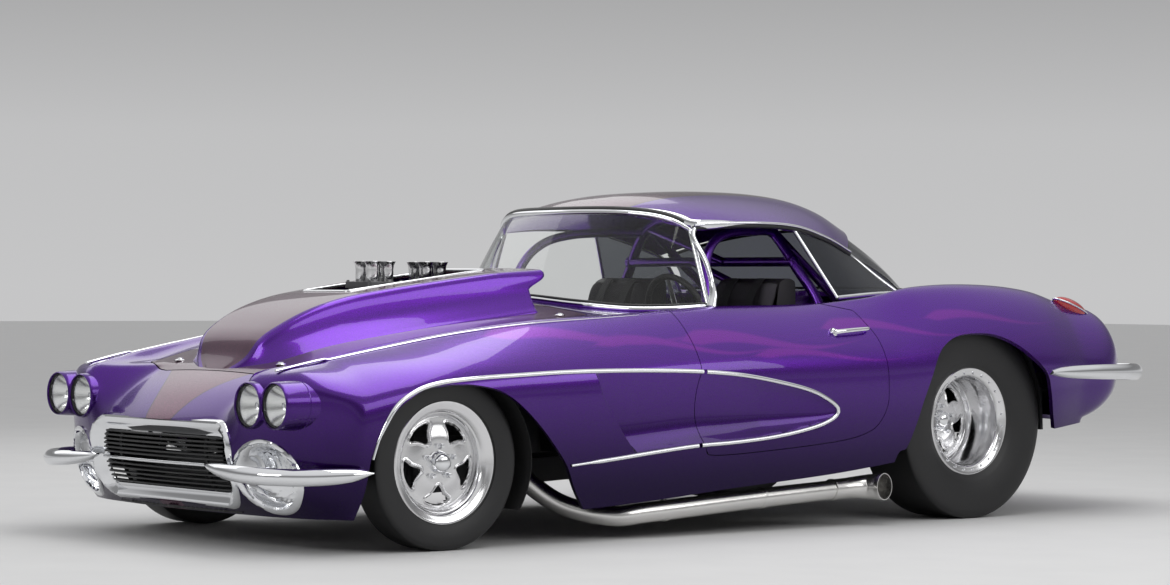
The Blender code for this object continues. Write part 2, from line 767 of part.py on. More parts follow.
def body_panels():
    """The body's skin split into its real panels."""
    skin = body_skin(SKIN)
    hood = keep(copy_of(skin), prism_z(hood_outline(0.0), 0.45, 1.10))
    hood = join(hood, scoop_solid(0.0))
    hood = cut(hood, scoop_solid(SCOOP_WALL, 0.45))
    opening_half, opening_front, opening_rear = SCOOP_OPENING
    hole = prism_z([(-opening_half, opening_front), (opening_half, opening_front),
                    (opening_half, opening_rear), (-opening_half, opening_rear)], 0.80, 1.20)
    hood = cut(hood, hole)
    hood = finish(whole_of(half_of(hood)), "hood", PAINT)

    lid = keep(copy_of(skin), prism_z(lid_outline(0.0), 0.66, 1.10))
    lid = finish(whole_of(half_of(lid)), "trunk_lid", PAINT)
    on_axis(lid, place(0, LID_FRONT, skin_z(LID_FRONT, 0.0)))

    door = cut(keep(body_skin(DOOR_THICK), door_prism(0.0)), cove_cutter())
    pair(door, "door", PAINT, (HINGE_X, HINGE_AFT, 0.0))

    body = cut(half_of(skin), prism_z(hood_outline(PANEL_GAP), 0.42, 1.10), prism_z(lid_outline(PANEL_GAP), 0.63, 1.10),
               door_prism(PANEL_GAP), prism_z(COCKPIT, 0.60, 1.20), prism_x(ARCH_FRONT, 0.70, 1.0),
               prism_x(ARCH_REAR, 0.70, 1.0), cove_cutter(),
               wheel_well())
    return body, ledges(hood, hood_edge, (-0.20, 0.78)), ledges(lid, lambda aft: LID_HALF, (2.90, 3.40))


def wheel_well():
    turns = [k * math.tau / WELL_FACETS for k in range(WELL_FACETS)]
    return loft([[place(x, radius * math.cos(t), FRONT_AXLE_Z + radius * math.sin(t)) for t in turns]
                 for x, radius in WELL_PROFILE])


def cylinder_x(x_low, x_high, aft, z, radius, steps=24):
    low, high = sorted((x_low, x_high))
    rings = [[place(x, aft + radius * math.cos(k * math.tau / steps), z + radius * math.sin(k * math.tau / steps))
              for k in range(steps)] for x in (low, high)]
    return loft(rings)


def nose_and_tail(body, hood_ledges, lid_ledges):
    """Split the body at the doors' front edge and give each half its openings, shelves and hinge leaves."""
    split = ((1.20, -0.10), (1.20, 0.45), (1.15, 0.60), (1.125, 0.740), (1.392, 0.790), (1.392, 1.50))
    front = keep(copy_of(body), prism_x(((-1.0, -0.10),) + split + ((-1.0, 1.50),), -1.1, 1.1))
    moved = tuple((aft + SEAT_GAP, z) for aft, z in split)
    rear = keep(body, prism_x(moved + ((4.3, 1.50), (4.3, -0.10)), -1.1, 1.1))
    front = cut(front, prism_y(grille_outline(0.0), -1.0, -0.50))
    front = join(front, *lamp_drums(POD_FACE, -0.560, POD_RADIUS))
    front = cut(front, *lamp_drums(-0.80, -0.50, LAMP_RADIUS + SEAT_GAP), prism_y(oval(), -1.0, -0.45))
    leaves = []
    for z in HINGE_HEIGHTS:
        face = between(DOOR_FRONT_LINE, z + 0.018) - SEAT_GAP
        x = skin_x(DOOR_FRONT, z)
        leaves.append(box((x - 0.045, face - 0.035, z - 0.018), (x - COVE_DEPTH - 0.004, face, z + 0.018)))
    return join(front, *hood_ledges, *leaves), join(rear, *lid_ledges)


def lamps():
    pair_of = []
    for x, z in LAMP_PLACES:
        r = LAMP_RADIUS
        profile = [(0, LAMP_FACE - 0.012), (0.5 * r, LAMP_FACE - 0.010), (r, LAMP_FACE + 0.002), (r, -0.540), (0, -0.540)]
        pair_of.append(turned_y(profile, LAMP_STEPS, x, z))
    (xa, za), (xb, zb) = LAMP_PLACES
    plate = box((xb - 0.02, -0.548, za - 0.05), (xa + 0.02, -0.536, za + 0.05))
    return join(*pair_of, plate)


def rail_z(aft):
    table = ((-0.50, 0.192), (0.0, 0.200), (0.9, 0.240), (1.9, 0.300), (2.2, 0.360), (2.42, 0.530),
             (2.88, 0.530), (3.15, 0.440), (3.60, 0.440))
    return between(table, aft)


def floor_z(aft):
    """Underside of the floor, on top of the rails."""
    return rail_z(aft) + RAIL_HEIGHT / 2 + SEAT_GAP


RAIL_STATIONS = (-0.50, 0.0, 0.9, 1.9, 2.2, 2.42, 2.88, 3.15, 3.45)
ARM_LOW_Z = 0.205
ARM_HIGH_Z = 0.415
ARM_THICK = 0.020


def chassis():
    rails = []
    for side in (1, -1):
        rings = []
        for aft in RAIL_STATIONS:
            z, w, h = rail_z(aft), RAIL_WIDTH / 2, RAIL_HEIGHT / 2
            x = side * RAIL_X
            rings.append([place(x - w, aft, z - h), place(x + w, aft, z - h),
                          place(x + w, aft, z + h), place(x - w, aft, z + h)])
        rails.append(loft(rings))
    frame = rails[0]
    inner = RAIL_X - 0.01
    members = [box((-0.585, CROSS_FRONT, 0.245), (0.585, CROSS_FRONT + 0.04, 0.315)),
               box((-inner, -0.495, 0.155), (inner, -0.445, 0.230)),
               box((-0.37, -0.485, 0.210), (-0.31, -0.455, 0.300)),
               box((0.31, -0.485, 0.210), (0.37, -0.455, 0.300)),
               box((-inner, -0.060, 0.160), (inner, 0.060, 0.2100)),
               box((-inner, 1.300, 0.225), (inner, 1.360, 0.2597)),
               box((-inner, 2.150, 0.308), (inner, 2.200, 0.334)),
               box((-inner, 3.380, 0.410), (inner, 3.440, 0.470))]
    for side in (1, -1):
        def plan(half):
            return [(side * 0.335, -half), (side * (KINGPIN_X + 0.028), -0.028),
                    (side * (KINGPIN_X + 0.028), 0.028), (side * 0.335, half)]
        members.append(prism_z(plan(0.15), ARM_LOW_Z - ARM_THICK / 2, ARM_LOW_Z + ARM_THICK / 2))
        members.append(prism_z(plan(0.10), ARM_HIGH_Z - ARM_THICK / 2, ARM_HIGH_Z + ARM_THICK / 2))
        low, high = sorted((side * 0.335, side * 0.385))
        members.append(box((low, -0.06, 0.20), (high, 0.06, ARM_HIGH_Z + ARM_THICK / 2)))
    return join(frame, rails[1], *members)


def knuckle():
    low = ARM_LOW_Z + ARM_THICK / 2 + SEAT_GAP
    high = ARM_HIGH_Z - ARM_THICK / 2 - SEAT_GAP
    steps = 10
    post = loft([[place(KINGPIN_X + 0.020 * math.cos(k * math.tau / steps),
                        0.020 * math.sin(k * math.tau / steps), z) for k in range(steps)] for z in (low, high)])
    hub_face = FRONT_WHEEL_X - 0.052 - SEAT_GAP
    spindle = cylinder_x(KINGPIN_X, hub_face, 0.0, FRONT_AXLE_Z, 0.024, 12)
    steer_arm = box((KINGPIN_X - 0.008, -0.02, 0.250), (KINGPIN_X + 0.012, 0.150, 0.275))
    return join(post, spindle, steer_arm)


def tyre(radius, width, rim_width, centre):
    half, seat = width / 2, rim_width / 2 - RIM_EDGE
    shoulder = RIM_RADIUS + 0.35 * (radius - RIM_RADIUS)
    side = [(BEAD_RADIUS, seat), (RIM_RADIUS + 0.006, seat), (shoulder, half), (radius - 0.012, half - 0.010),
            (radius, half - 0.040)]
    return turned([(r, -h) for r, h in side] + side[::-1], TYRE_FACETS, centre)


def rim(width, disc_at, dish, centre, hub_reach):
    """Barrel, wheel centre and hub as one turned profile, then windows cut between the spokes."""
    half = width / 2
    lip, well, d = RIM_RADIUS, RIM_WELL, disc_at
    seat = BEAD_RADIUS * math.cos(math.pi / TYRE_FACETS) - SEAT_GAP
    flange = half - RIM_EDGE + SEAT_GAP
    profile = [
        (0.034, d + 0.028), (0.050, d + 0.002), (well - 0.006, d - dish), (well - 0.006, half - 0.016),
        (lip - 0.006, half), (lip, flange), (seat, flange), (seat, -flange), (well - 0.006, -flange),
        (well - 0.006, d - dish - 0.014), (0.068, d - 0.022), (0.066, -hub_reach),
    ]
    rings = []
    for radius, across in profile:
        rings.append([centre + Vector((across, radius * math.cos(k * math.tau / RIM_FACETS),
                                       radius * math.sin(k * math.tau / RIM_FACETS))) for k in range(RIM_FACETS)])
    wheel = loft(rings)
    for n in range(SPOKE_COUNT):
        middle = math.radians(90) + (n + 0.5) * math.tau / SPOKE_COUNT
        outline = []
        for radius, half_angle in WINDOW_EDGE + tuple((r, -t) for r, t in WINDOW_EDGE[::-1]):
            t = middle + half_angle
            outline.append((radius * math.cos(t), radius * math.sin(t)))
        window = loft([[centre + Vector((x, y, z)) for y, z in outline]
                       for x in (d - dish - 0.04, d + 0.06)])
        wheel = cut(wheel, window)
    return wheel


def engine():
    """Plain block with heads, gearbox and propeller shaft."""
    outline = [(-0.12, 0.2103), (0.12, 0.2103), (0.17, 0.36), (0.29, 0.50), (0.25, 0.655), (-0.25, 0.655),
               (-0.29, 0.50), (-0.17, 0.36)]
    block = prism_y(outline, 0.02, 0.76)
    case = loft([[place(x * w, aft, zc + z * h) for x, z in ((-1, -1), (1, -1), (1, 1), (-1, 1))]
                 for aft, w, h, zc in ((0.75, 0.15, 0.13, 0.40), (0.98, 0.10, 0.085, 0.365), (1.40, 0.075, 0.07, 0.345))])
    shaft = tube([place(0, 1.39, 0.345), place(0, WHEELBASE - 0.24, REAR_AXLE_Z),
                  place(0, WHEELBASE - 0.18 - SEAT_GAP, REAR_AXLE_Z)], 0.038, resolution=2)
    pads = [box((side * 0.27 - 0.04, 0.34, 0.405), (side * 0.27 + 0.04, 0.46, 0.495)) for side in (1, -1)]
    return join(block, case, shaft, *pads)


CARB_AFTS = (0.281, 0.525)
STACK_PITCH = 0.067
STACK_TOP = 1.005
STACK_RADIUS = 0.026
STACK_STEPS = 8


def carburettors():
    low = 0.655 + SEAT_GAP
    base = box((-0.115, 0.150, low), (0.115, 0.655, 0.800))
    bodies = [box((-0.085, aft - 0.085, 0.790), (0.085, aft + 0.085, 0.935)) for aft in CARB_AFTS]
    stacks = []
    for aft in CARB_AFTS:
        for sx in (-1, 1):
            for sy in (-1, 1):
                x, y = sx * STACK_PITCH / 2, aft + sy * STACK_PITCH / 2
                profile = [(STACK_RADIUS - 0.003, 0.900), (STACK_RADIUS - 0.003, 0.985), (0.0305, STACK_TOP)]
                turns = [(k + 0.5) * math.tau / STACK_STEPS for k in range(STACK_STEPS)]
                rings = [[place(x + r * math.cos(t), y + r * math.sin(t), z) for t in turns] for r, z in profile]
                stacks.append(loft(rings))
    return join(base, *bodies, *stacks)


def side_pipe():
    path = [(0.345, 0.40, 0.450), (0.40, 0.425, 0.430), (0.48, 0.50, 0.300), (0.60, 0.66, 0.135),
            (0.74, 0.80, 0.084), (0.80, 0.95, 0.094), (0.80, 1.45, 0.122), (0.80, 2.02, 0.148)]
    start = [place(0.31 + SEAT_GAP, 0.40, 0.450), place(0.325, 0.40, 0.450)]
    points = start + smooth([place(*p) for p in path[:6]], 2) + [place(*p) for p in path[6:]]
    pipe = tube(points, 0.0375, resolution=2)
    tip = tube([place(0.80, 1.93, 0.144), place(0.80, 2.05, 0.150)], 0.047, resolution=2)
    bore = tube([place(0.80, 1.96, 0.146), place(0.80, 2.06, 0.150)], 0.042, resolution=2)
    return cut(join(pipe, tip), bore)


AXLE_RADIUS = 0.040


def rear_axle():
    reach = REAR_WHEEL_X - 0.062 - SEAT_GAP
    shaft = cylinder_x(-reach, reach, WHEELBASE, REAR_AXLE_Z, AXLE_RADIUS, 12)
    steps = 12
    rings = []
    for offset, radius in ((-0.18, 0.045), (-0.05, 0.135), (0.05, 0.14), (0.12, 0.06)):
        rings.append([place(radius * math.cos(k * math.tau / steps), WHEELBASE + offset,
                            REAR_AXLE_Z + radius * math.sin(k * math.tau / steps)) for k in range(steps)])
    carrier = loft(rings)
    parts = [carrier]
    for side in (1, -1):
        # ladder bars that run forward to the frame
        bar = tube([place(side * 0.46, WHEELBASE, 0.39), place(side * 0.44, 1.90, 0.270)], 0.016, resolution=1)
        a, b = sorted((side * 0.3903, side * 0.455))
        foot = box((a, 1.86, 0.255), (b, 1.93, 0.290))
        parts += [bar, foot]
    return join(shaft, *parts)


# Where the body's sills stand on the floor: (aft, low z, shelf z, floor z)
BODY_MOUNTS = ((1.000, 0.215, 0.275, 0.300), (1.600, 0.235, 0.298, 0.338))


def body_mount(number, grow=0.0):
    """An outrigger from the floor that carries the driver's side sill."""
    aft, low, shelf, high = BODY_MOUNTS[number]
    front, back = aft - 0.025 - grow, aft + 0.025 + grow
    return join(box((0.780 - grow, front, low - grow), (0.858 + grow, back, shelf + grow)),
                box((0.780 - grow, front, low - grow), (0.815 + grow, back, high + grow)))


def floor_pan():
    rings = []
    for aft in (0.952, 1.30, 1.60, 1.88, 2.18):
        z = floor_z(aft)
        rise = 0.21 - 0.06 * (aft - 0.95)
        t = FLOOR_THICK
        under = [(-0.815, z), (-0.165, z), (-0.145, z + rise), (0.145, z + rise), (0.165, z), (0.815, z)]
        over = [(0.815, z + t), (0.178, z + t), (0.156, z + rise + t), (-0.156, z + rise + t), (-0.178, z + t), (-0.815, z + t)]
        rings.append([place(x, aft, zz) for x, zz in under + over])
    floor = loft(rings)
    z = floor_z(0.970)
    outline = [(-0.70, z), (-0.165, z), (-0.145, z + 0.21), (0.145, z + 0.21), (0.165, z), (0.70, z),
               (0.70, 0.740), (0.56, 0.775), (0.30, 0.800), (-0.30, 0.800), (-0.56, 0.775), (-0.70, 0.740)]
    wall = prism_y(outline, 0.945, 0.960)
    mounts = [body_mount(k) for k in (0, 1)]
    return join(floor, wall, *[mirrored(piece) for piece in mounts], *mounts)


HOUSE_RADIUS = 0.430
HOUSE_WALL = 0.014
HOUSE_X = 0.500


def trunk_floor():
    rings = []
    for aft in (2.44, 2.88, 3.15, 3.44):
        z = floor_z(aft)
        rings.append([place(-0.515, aft, z), place(0.515, aft, z), place(0.515, aft, z + FLOOR_THICK),
                      place(-0.515, aft, z + FLOOR_THICK)])
    floor = loft(rings)
    parts = []
    for side in (1, -1):
        def arch(radius):
            steps = 9
            return [(WHEELBASE + radius * math.cos(math.radians(-8 + 196 * k / steps)),
                     REAR_AXLE_Z + radius * math.sin(math.radians(-8 + 196 * k / steps))) for k in range(steps + 1)]
        house = prism_x(arch(HOUSE_RADIUS), side * HOUSE_X, side * 0.795)
        house = cut(house, prism_x(arch(HOUSE_RADIUS - HOUSE_WALL), side * (HOUSE_X + HOUSE_WALL), side * 0.90),
                    box((min(side * 0.515, side * 0.9), WHEELBASE - 0.6, 0.20), (max(side * 0.515, side * 0.9), WHEELBASE + 0.6, 0.345)),
                    cylinder_x(side * 0.48, side * 0.53, WHEELBASE, REAR_AXLE_Z, 0.100, 8))
        parts.append(house)
    return join(floor, *parts)


SEAT_X = 0.385
SEAT_HALF = 0.190


def seat(centre_x):
    front, back = 1.34, 1.84
    under = floor_z(front) + FLOOR_THICK + SEAT_GAP
    under_back = floor_z(back) + FLOOR_THICK + SEAT_GAP
    outline = [(front, under), (back, under_back), (1.885, 0.62), (1.900, 0.90), (1.880, 0.955), (1.815, 0.950),
               (1.790, 0.900), (1.745, 0.560), (1.690, 0.510), (1.40, 0.535), (1.345, 0.510)]
    return prism_x(outline, centre_x - SEAT_HALF, centre_x + SEAT_HALF)


COLUMN_X = 0.370
WHEEL_HUB = (COLUMN_X, 1.455, 0.800)
COLUMN_ROOT = (COLUMN_X, 0.968, 0.642)


def dash():
    outline = [(1.10, 0.775), (1.10, 0.720), (1.22, 0.670), (1.285, 0.680), (1.300, 0.740), (1.270, 0.782), (1.20, 0.792)]
    panel = prism_x(outline, -0.640, 0.640)
    hub = Vector(WHEEL_HUB)
    root = Vector(COLUMN_ROOT)
    direction = (hub - root).normalized()
    end = hub - direction * 0.0253
    column = tube([place(*root), place(*end)], 0.020, resolution=2)
    bracket = box((-0.02, 0.9603, 0.730), (0.02, 1.15, 0.755))
    return join(panel, column, bracket)


def steering_wheel():
    """Rim, hub and three spokes in their own frame, then tilted onto the column."""
    direction = (Vector(WHEEL_HUB) - Vector(COLUMN_ROOT)).normalized()
    radius = 0.165
    steps = 16
    circle = [Vector((radius * math.cos(k * math.tau / steps), radius * math.sin(k * math.tau / steps), 0))
              for k in range(steps)]
    hoop = tube(circle, 0.0125, cyclic=True, resolution=1)
    hub = tube([Vector((0, 0, -0.025)), Vector((0, 0, 0.018))], 0.036)
    spokes = [tube([Vector((0, 0, 0)), Vector((radius * math.cos(t), radius * math.sin(t), 0))], 0.008, resolution=1)
              for t in (math.radians(90), math.radians(210), math.radians(330))]
    wheel = join(hoop, hub, *spokes)
    turn = direction.to_track_quat("Z", "Y").to_matrix().to_4x4()
    wheel.data.transform(Matrix.Translation(place(*WHEEL_HUB)) @ turn)
    return wheel


# Windshield base and header, from the middle to the corner
GLASS_FOOT = ((0.0, 0.955), (0.30, 0.985), (0.50, 1.070), (0.620, 1.190), (0.682, 1.335))
GLASS_TOP = ((0.0, 1.160, 1.205), (0.28, 1.190, 1.203), (0.44, 1.250, 1.190), (0.53, 1.300, 1.165), (0.575, 1.340, 1.130))
FRAME_RADIUS = 0.011
GLASS_THICK = 0.005


# The base line sinks a little into the cowl, which is cut to it
GLASS_BASE = tuple((x, aft, skin_z(aft, x) + FRAME_RADIUS - 0.003) for x, aft in GLASS_FOOT)


def both_sides(half):
    return [(-x, a, z) for x, a, z in half[:0:-1]] + list(half)


def windshield_line(height, per=1):
    """A line across the glass at a share of its height."""
    base, top = both_sides(GLASS_BASE), both_sides(GLASS_TOP)
    mixed = [Vector(p).lerp(Vector(q), height) for p, q in zip(base, top)]
    return [place(*p) for p in smooth(mixed, per)]


def windshield_frame(grow=0.0):
    low, high = windshield_line(0.0), windshield_line(1.0)
    return tube(low + high[::-1], FRAME_RADIUS + grow, cyclic=True)


def sheet_solid(rows, thickness):
    """A glass pane with a given thickness behind a grid of points."""
    across, along = len(rows[0]), len(rows)
    verts = [p for row in rows for p in row]
    faces = [(i * across + k, i * across + k + 1, (i + 1) * across + k + 1, (i + 1) * across + k)
             for i in range(along - 1) for k in range(across - 1)]
    mesh = bpy.data.meshes.new("pane")
    mesh.from_pydata([tuple(v) for v in verts], [], faces)
    piece = bpy.data.objects.new("pane", mesh)
    collection(COLLECTION).objects.link(piece)
    wall = piece.modifiers.new("wall", "SOLIDIFY")
    wall.thickness = thickness
    wall.offset = 0.0
    piece = baked(piece)
    clean(piece)
    return piece


def windshield_glass():
    rows = [windshield_line(h) for h in (0.0, 1.0)]
    return cut(sheet_solid(rows, GLASS_THICK), windshield_frame(SEAT_GAP))


# Roof: rails at its sides and its rear edge, as (x, aft, z)
ROOF_SIDE = ((0.575, 1.335, 1.150), (0.600, 1.575, 1.166), (0.602, 1.830, 1.160), (0.592, 2.020, 1.118), (0.565, 2.175, 1.062))
ROOF_CROWN = ((1.165, 1.222), (1.32, 1.262), (1.50, 1.288), (1.80, 1.302), (2.10, 1.292), (2.30, 1.252), (2.47, 1.180))
ROOF_THICK = 0.018
REAR_TOP = ((0.0, 2.462, 1.156), (0.28, 2.399, 1.137), (0.44, 2.292, 1.094), (0.54, 2.196, 1.050))
REAR_BASE = ((0.0, 2.745, 0.922), (0.30, 2.690, 0.918), (0.52, 2.520, 0.914), (0.655, 2.370, 0.912))


def roof_rows():
    """Rows across the roof from its front edge to its rear one."""
    count = 9
    rows = []
    side = smooth(ROOF_SIDE, 1)
    spans = len(side) - 1
    for i, edge in enumerate(side):
        v = i / spans
        front_middle, rear_middle = ROOF_CROWN[0][0], ROOF_CROWN[-1][0]
        middle_aft = front_middle + (rear_middle - front_middle) * v
        middle_z = between(ROOF_CROWN, middle_aft)
        row = []
        for k in range(count):
            u = -1 + 2 * k / (count - 1)
            w = abs(u)
            x = u * edge.x
            aft = middle_aft + (edge.y - middle_aft) * w ** 2.2
            z = middle_z + (edge.z - middle_z) * w ** 2.6
            row.append(place(x, aft, z))
        rows.append(row)
    return rows


def roof_shell():
    rows = roof_rows()
    across, along = len(rows[0]), len(rows)
    verts = [p for row in rows for p in row]
    faces = [(i * across + k, (i + 1) * across + k, (i + 1) * across + k + 1, i * across + k + 1)
             for i in range(along - 1) for k in range(across - 1)]
    mesh = bpy.data.meshes.new("roof")
    mesh.from_pydata([tuple(v) for v in verts], [], faces)
    piece = bpy.data.objects.new("roof", mesh)
    collection(COLLECTION).objects.link(piece)
    upward = sum((p.normal.z for p in mesh.polygons)) > 0
    wall = piece.modifiers.new("wall", "SOLIDIFY")
    wall.thickness = ROOF_THICK
    wall.offset = -1.0 if upward else 1.0
    piece = baked(piece)
    clean(piece)
    return piece


RAIL_PATH = ((0.586, 1.357, 1.140), (0.604, 1.575, 1.152), (0.606, 1.830, 1.146), (0.597, 2.020, 1.104), (0.573, 2.175, 1.050),
             (0.610, 2.290, 0.965), (0.655, 2.370, 0.900))
SILL_PATH = ((0.700, 1.990, 0.880), (0.690, 2.180, 0.893), (0.655, 2.370, 0.900))
BAR_PATH = ((0.607, 1.850, 1.137), (0.700, 1.990, 0.880))
TRIM_RADIUS = 0.009


def window_rail(grow=0.0):
    def points(path, per):
        return smooth([place(*p) for p in path], per)
    parts = [tube(points(path, per), TRIM_RADIUS + grow, extend=grow)
             for path, per in ((RAIL_PATH, 1), (SILL_PATH, 1), (BAR_PATH, 1))]
    return join(*parts)


def quarter_glass():
    top = [Vector(p) for p in ((0.607, 1.850, 1.137), (0.600, 2.020, 1.100), (0.578, 2.175, 1.047), (0.610, 2.290, 0.965), (0.655, 2.370, 0.900))]
    low = [Vector(p) for p in ((0.698, 1.994, 0.885), (0.697, 2.085, 0.887), (0.688, 2.180, 0.893), (0.672, 2.280, 0.897), (0.655, 2.371, 0.8995))]
    rows = []
    for v in (0.0, 1.0):
        rows.append([place(*a.lerp(b, v)) for a, b in zip(top[:-1], low[:-1])])
    pane = sheet_solid(rows, 0.004)
    return cut(pane, window_rail(SEAT_GAP))


def rear_window():
    base, top = both_sides(REAR_BASE), both_sides(REAR_TOP)
    low = [place(*p) for p in base]
    high = [place(*p) for p in top]
    return low, high


def rear_glass():
    low, high = rear_window()
    rows = []
    for v in (0.0, 0.5, 1.0):
        row = []
        for p, q in zip(low, high):
            spot = p.lerp(q, v)
            spot.y += 0.030 * math.sin(v * math.pi)
            row.append(spot)
        rows.append(row)
    return sheet_solid(rows, 0.005)


def rear_glass_base(grow=0.0):
    low, _ = rear_window()
    line = [p + Vector((0, 0.004, -0.012)) for p in low]
    line[0] = line[0].lerp(line[1], 0.15)
    line[-1] = line[-1].lerp(line[-2], 0.15)
    return tube(line, TRIM_RADIUS + grow, extend=grow)


Blade = namedtuple("Blade", "x aft z height")
FRONT_BLADE = [
    Blade(0.370, -0.672, 0.300, 0.010), Blade(0.410, -0.690, 0.292, 0.034), Blade(0.500, -0.706, 0.283, 0.050),
    Blade(0.620, -0.708, 0.277, 0.056), Blade(0.730, -0.670, 0.273, 0.058), Blade(0.820, -0.582, 0.272, 0.058),
    Blade(0.880, -0.470, 0.276, 0.056), Blade(0.908, -0.372, 0.284, 0.046),
]
REAR_BLADE = [
    Blade(0.912, 2.985, 0.583, 0.020), Blade(0.918, 3.080, 0.582, 0.046), Blade(0.912, 3.280, 0.581, 0.060),
    Blade(0.872, 3.500, 0.578, 0.064), Blade(0.790, 3.665, 0.574, 0.068), Blade(0.660, 3.765, 0.570, 0.070),
    Blade(0.480, 3.796, 0.566, 0.070), Blade(0.330, 3.796, 0.564, 0.056),
]


def blade(rows, bulge):
    """A bumper blade: a lens-shaped section carried along a curve in plan."""
    rings = []
    for i, row in enumerate(rows):
        a, b = rows[max(i - 1, 0)], rows[min(i + 1, len(rows) - 1)]
        along = Vector((b.x - a.x, b.aft - a.aft, 0)).normalized()
        out = Vector((along.y, -along.x, 0))
        if out.dot(Vector((row.x, row.aft - 1.5, 0))) < 0:
            out = -out
        ring = []
        for u, v in ((0.0, -1.0), (0.7, -0.6), (1.0, 0.0), (0.7, 0.6), (0.0, 1.0), (-0.25, 0.5), (-0.25, -0.5)):
            p = Vector((row.x, row.aft, row.z)) + out * (bulge * u) + Vector((0, 0, v * row.height / 2))
            ring.append(place(*p))
        rings.append(ring)
    return loft(rings)


def front_bumper():
    bracket = box((0.530, -0.712, 0.262), (0.570, CROSS_FRONT - SEAT_GAP, 0.294))
    return join(blade(FRONT_BLADE, 0.020), bracket)


def rear_bracket(grow=0.0):
    low, high = 0.335 - grow, 0.385 + grow
    return (box((low, 3.4503 - grow, 0.425 - grow), (high, 3.560 + grow, 0.470 + grow)),
            box((low, 3.520 - grow, 0.440 - grow), (high, 3.800, 0.590 + grow)))


def rear_bumper():
    return join(blade(REAR_BLADE, 0.022), *rear_bracket())


SURROUND_WIDTH = 0.024
NOSTRIL_WIDTH = 0.018


def bezel(outline_at, width):
    """A bright ring nested in an opening of the nose, its face rounded outward."""
    section = ((SEAT_GAP, 0.003), (0.35 * width, -0.25 * width), (width, 0.001), (width, 0.012), (SEAT_GAP, 0.012))
    lines = [outline_at(inset) for inset, _ in section]
    rings = []
    for k in range(len(lines[0])):
        rings.append([place(line[k][0], nose_at(*line[k]) + depth, line[k][1])
                      for line, (_, depth) in zip(lines, section)])
    return loft(rings, closed_ends=False)


def grille_surround():
    return bezel(lambda inset: grille_outline(-inset), SURROUND_WIDTH)


def grille_bars():
    """Thin level bars on two uprights, behind the surround."""
    bars = []
    count = 7
    for k in range(count):
        z = GRILLE_LOW + 0.020 + k * (GRILLE_HIGH - GRILLE_LOW - 0.04) / (count - 1)
        line = [place(x, nose_at(x, z) + 0.040, z) for x in (-0.380, -0.19, 0.19, 0.380)]
        bars.append(tube(line, 0.0055, resolution=0))
    posts = []
    for x in (-0.28, 0.28):
        heights = [GRILLE_LOW + 0.014 + k * (GRILLE_HIGH - GRILLE_LOW - 0.028) / 3 for k in range(4)]
        posts.append(tube([place(x, nose_at(x, z) + 0.044, z) for z in heights], 0.008, resolution=0))
        stay_z = 0.290
        posts.append(tube([place(x, nose_at(x, stay_z) + 0.046, stay_z), place(x, CROSS_FRONT - SEAT_GAP, stay_z)], 0.008, resolution=0))
    return join(posts[0], posts[1], *bars, posts[2], posts[3])


def nostril_ring():
    return bezel(oval, NOSTRIL_WIDTH)


TAIL_LAMP = (0.705, 3.335, 0.842)
TAIL_LAMP_SIZE = (0.040, 0.098, 0.034)


def tail_lamp(grow=0.0):
    bpy.ops.mesh.primitive_uv_sphere_add(segments=12, ring_count=6, radius=1.0)
    piece = bpy.context.object
    x, aft, z = TAIL_LAMP
    sx, sy, sz = TAIL_LAMP_SIZE
    piece.matrix_world = (Matrix.Translation(place(x, aft, z)) @ Matrix.Rotation(math.radians(-20), 4, "X")
                          @ Matrix.Diagonal((sx + grow, sy + grow, sz + grow, 1.0)))
    return baked(piece)


HOOP_HALF = ((0.0, 1.930, 1.205), (0.22, 1.930, 1.200), (0.33, 1.932, 1.175), (0.42, 1.938, 1.110),
             (0.51, 1.958, 0.990), (0.600, 1.980, 0.865), (0.640, 1.990, 0.700))
SIDE_BAR = ((0.645, 1.345, 0.600), (0.615, 1.385, 0.820), (0.565, 1.425, 1.000), (0.525, 1.500, 1.090),
            (0.485, 1.620, 1.128), (0.440, 1.800, 1.140), (0.400, 1.925, 1.140))


def cage_hoop(grow=0.0):
    foot = floor_z(2.02) + FLOOR_THICK + SEAT_GAP
    half = list(HOOP_HALF) + [(0.648, 1.990, foot)]
    return tube([place(*p) for p in both_sides(half)], TUBE_RADIUS + grow)


def cage_rear(side):
    foot = floor_z(2.62) + FLOOR_THICK + SEAT_GAP
    return tube([place(side * 0.36, 1.935, 1.165), place(side * 0.38, 2.63, foot + 0.03), place(side * 0.38, 2.63, foot)],
                0.018)


def cage():
    parts = [cage_hoop(),
             tube([place(-0.495, 1.950, 1.020), place(0.495, 1.950, 1.020)], 0.019),
             tube([place(-0.36, 1.932, 1.160), place(0.10, 1.940, 1.020)], 0.016),
             tube([place(-0.10, 1.945, 1.020), place(0.620, 1.985, 0.760)], 0.016),
             cage_rear(1), cage_rear(-1)]
    return join(*parts)


def cage_side():
    foot = floor_z(1.35) + FLOOR_THICK + SEAT_GAP
    path = [(0.655, 1.330, foot), (0.655, 1.330, foot + 0.03)] + list(SIDE_BAR)
    bar = tube([place(*p) for p in path], 0.018)
    low_bar = tube([place(0.647, 1.342, 0.580), place(0.640, 1.990, 0.520)], 0.018)
    return cut(join(bar, low_bar), cage_hoop(SEAT_GAP))


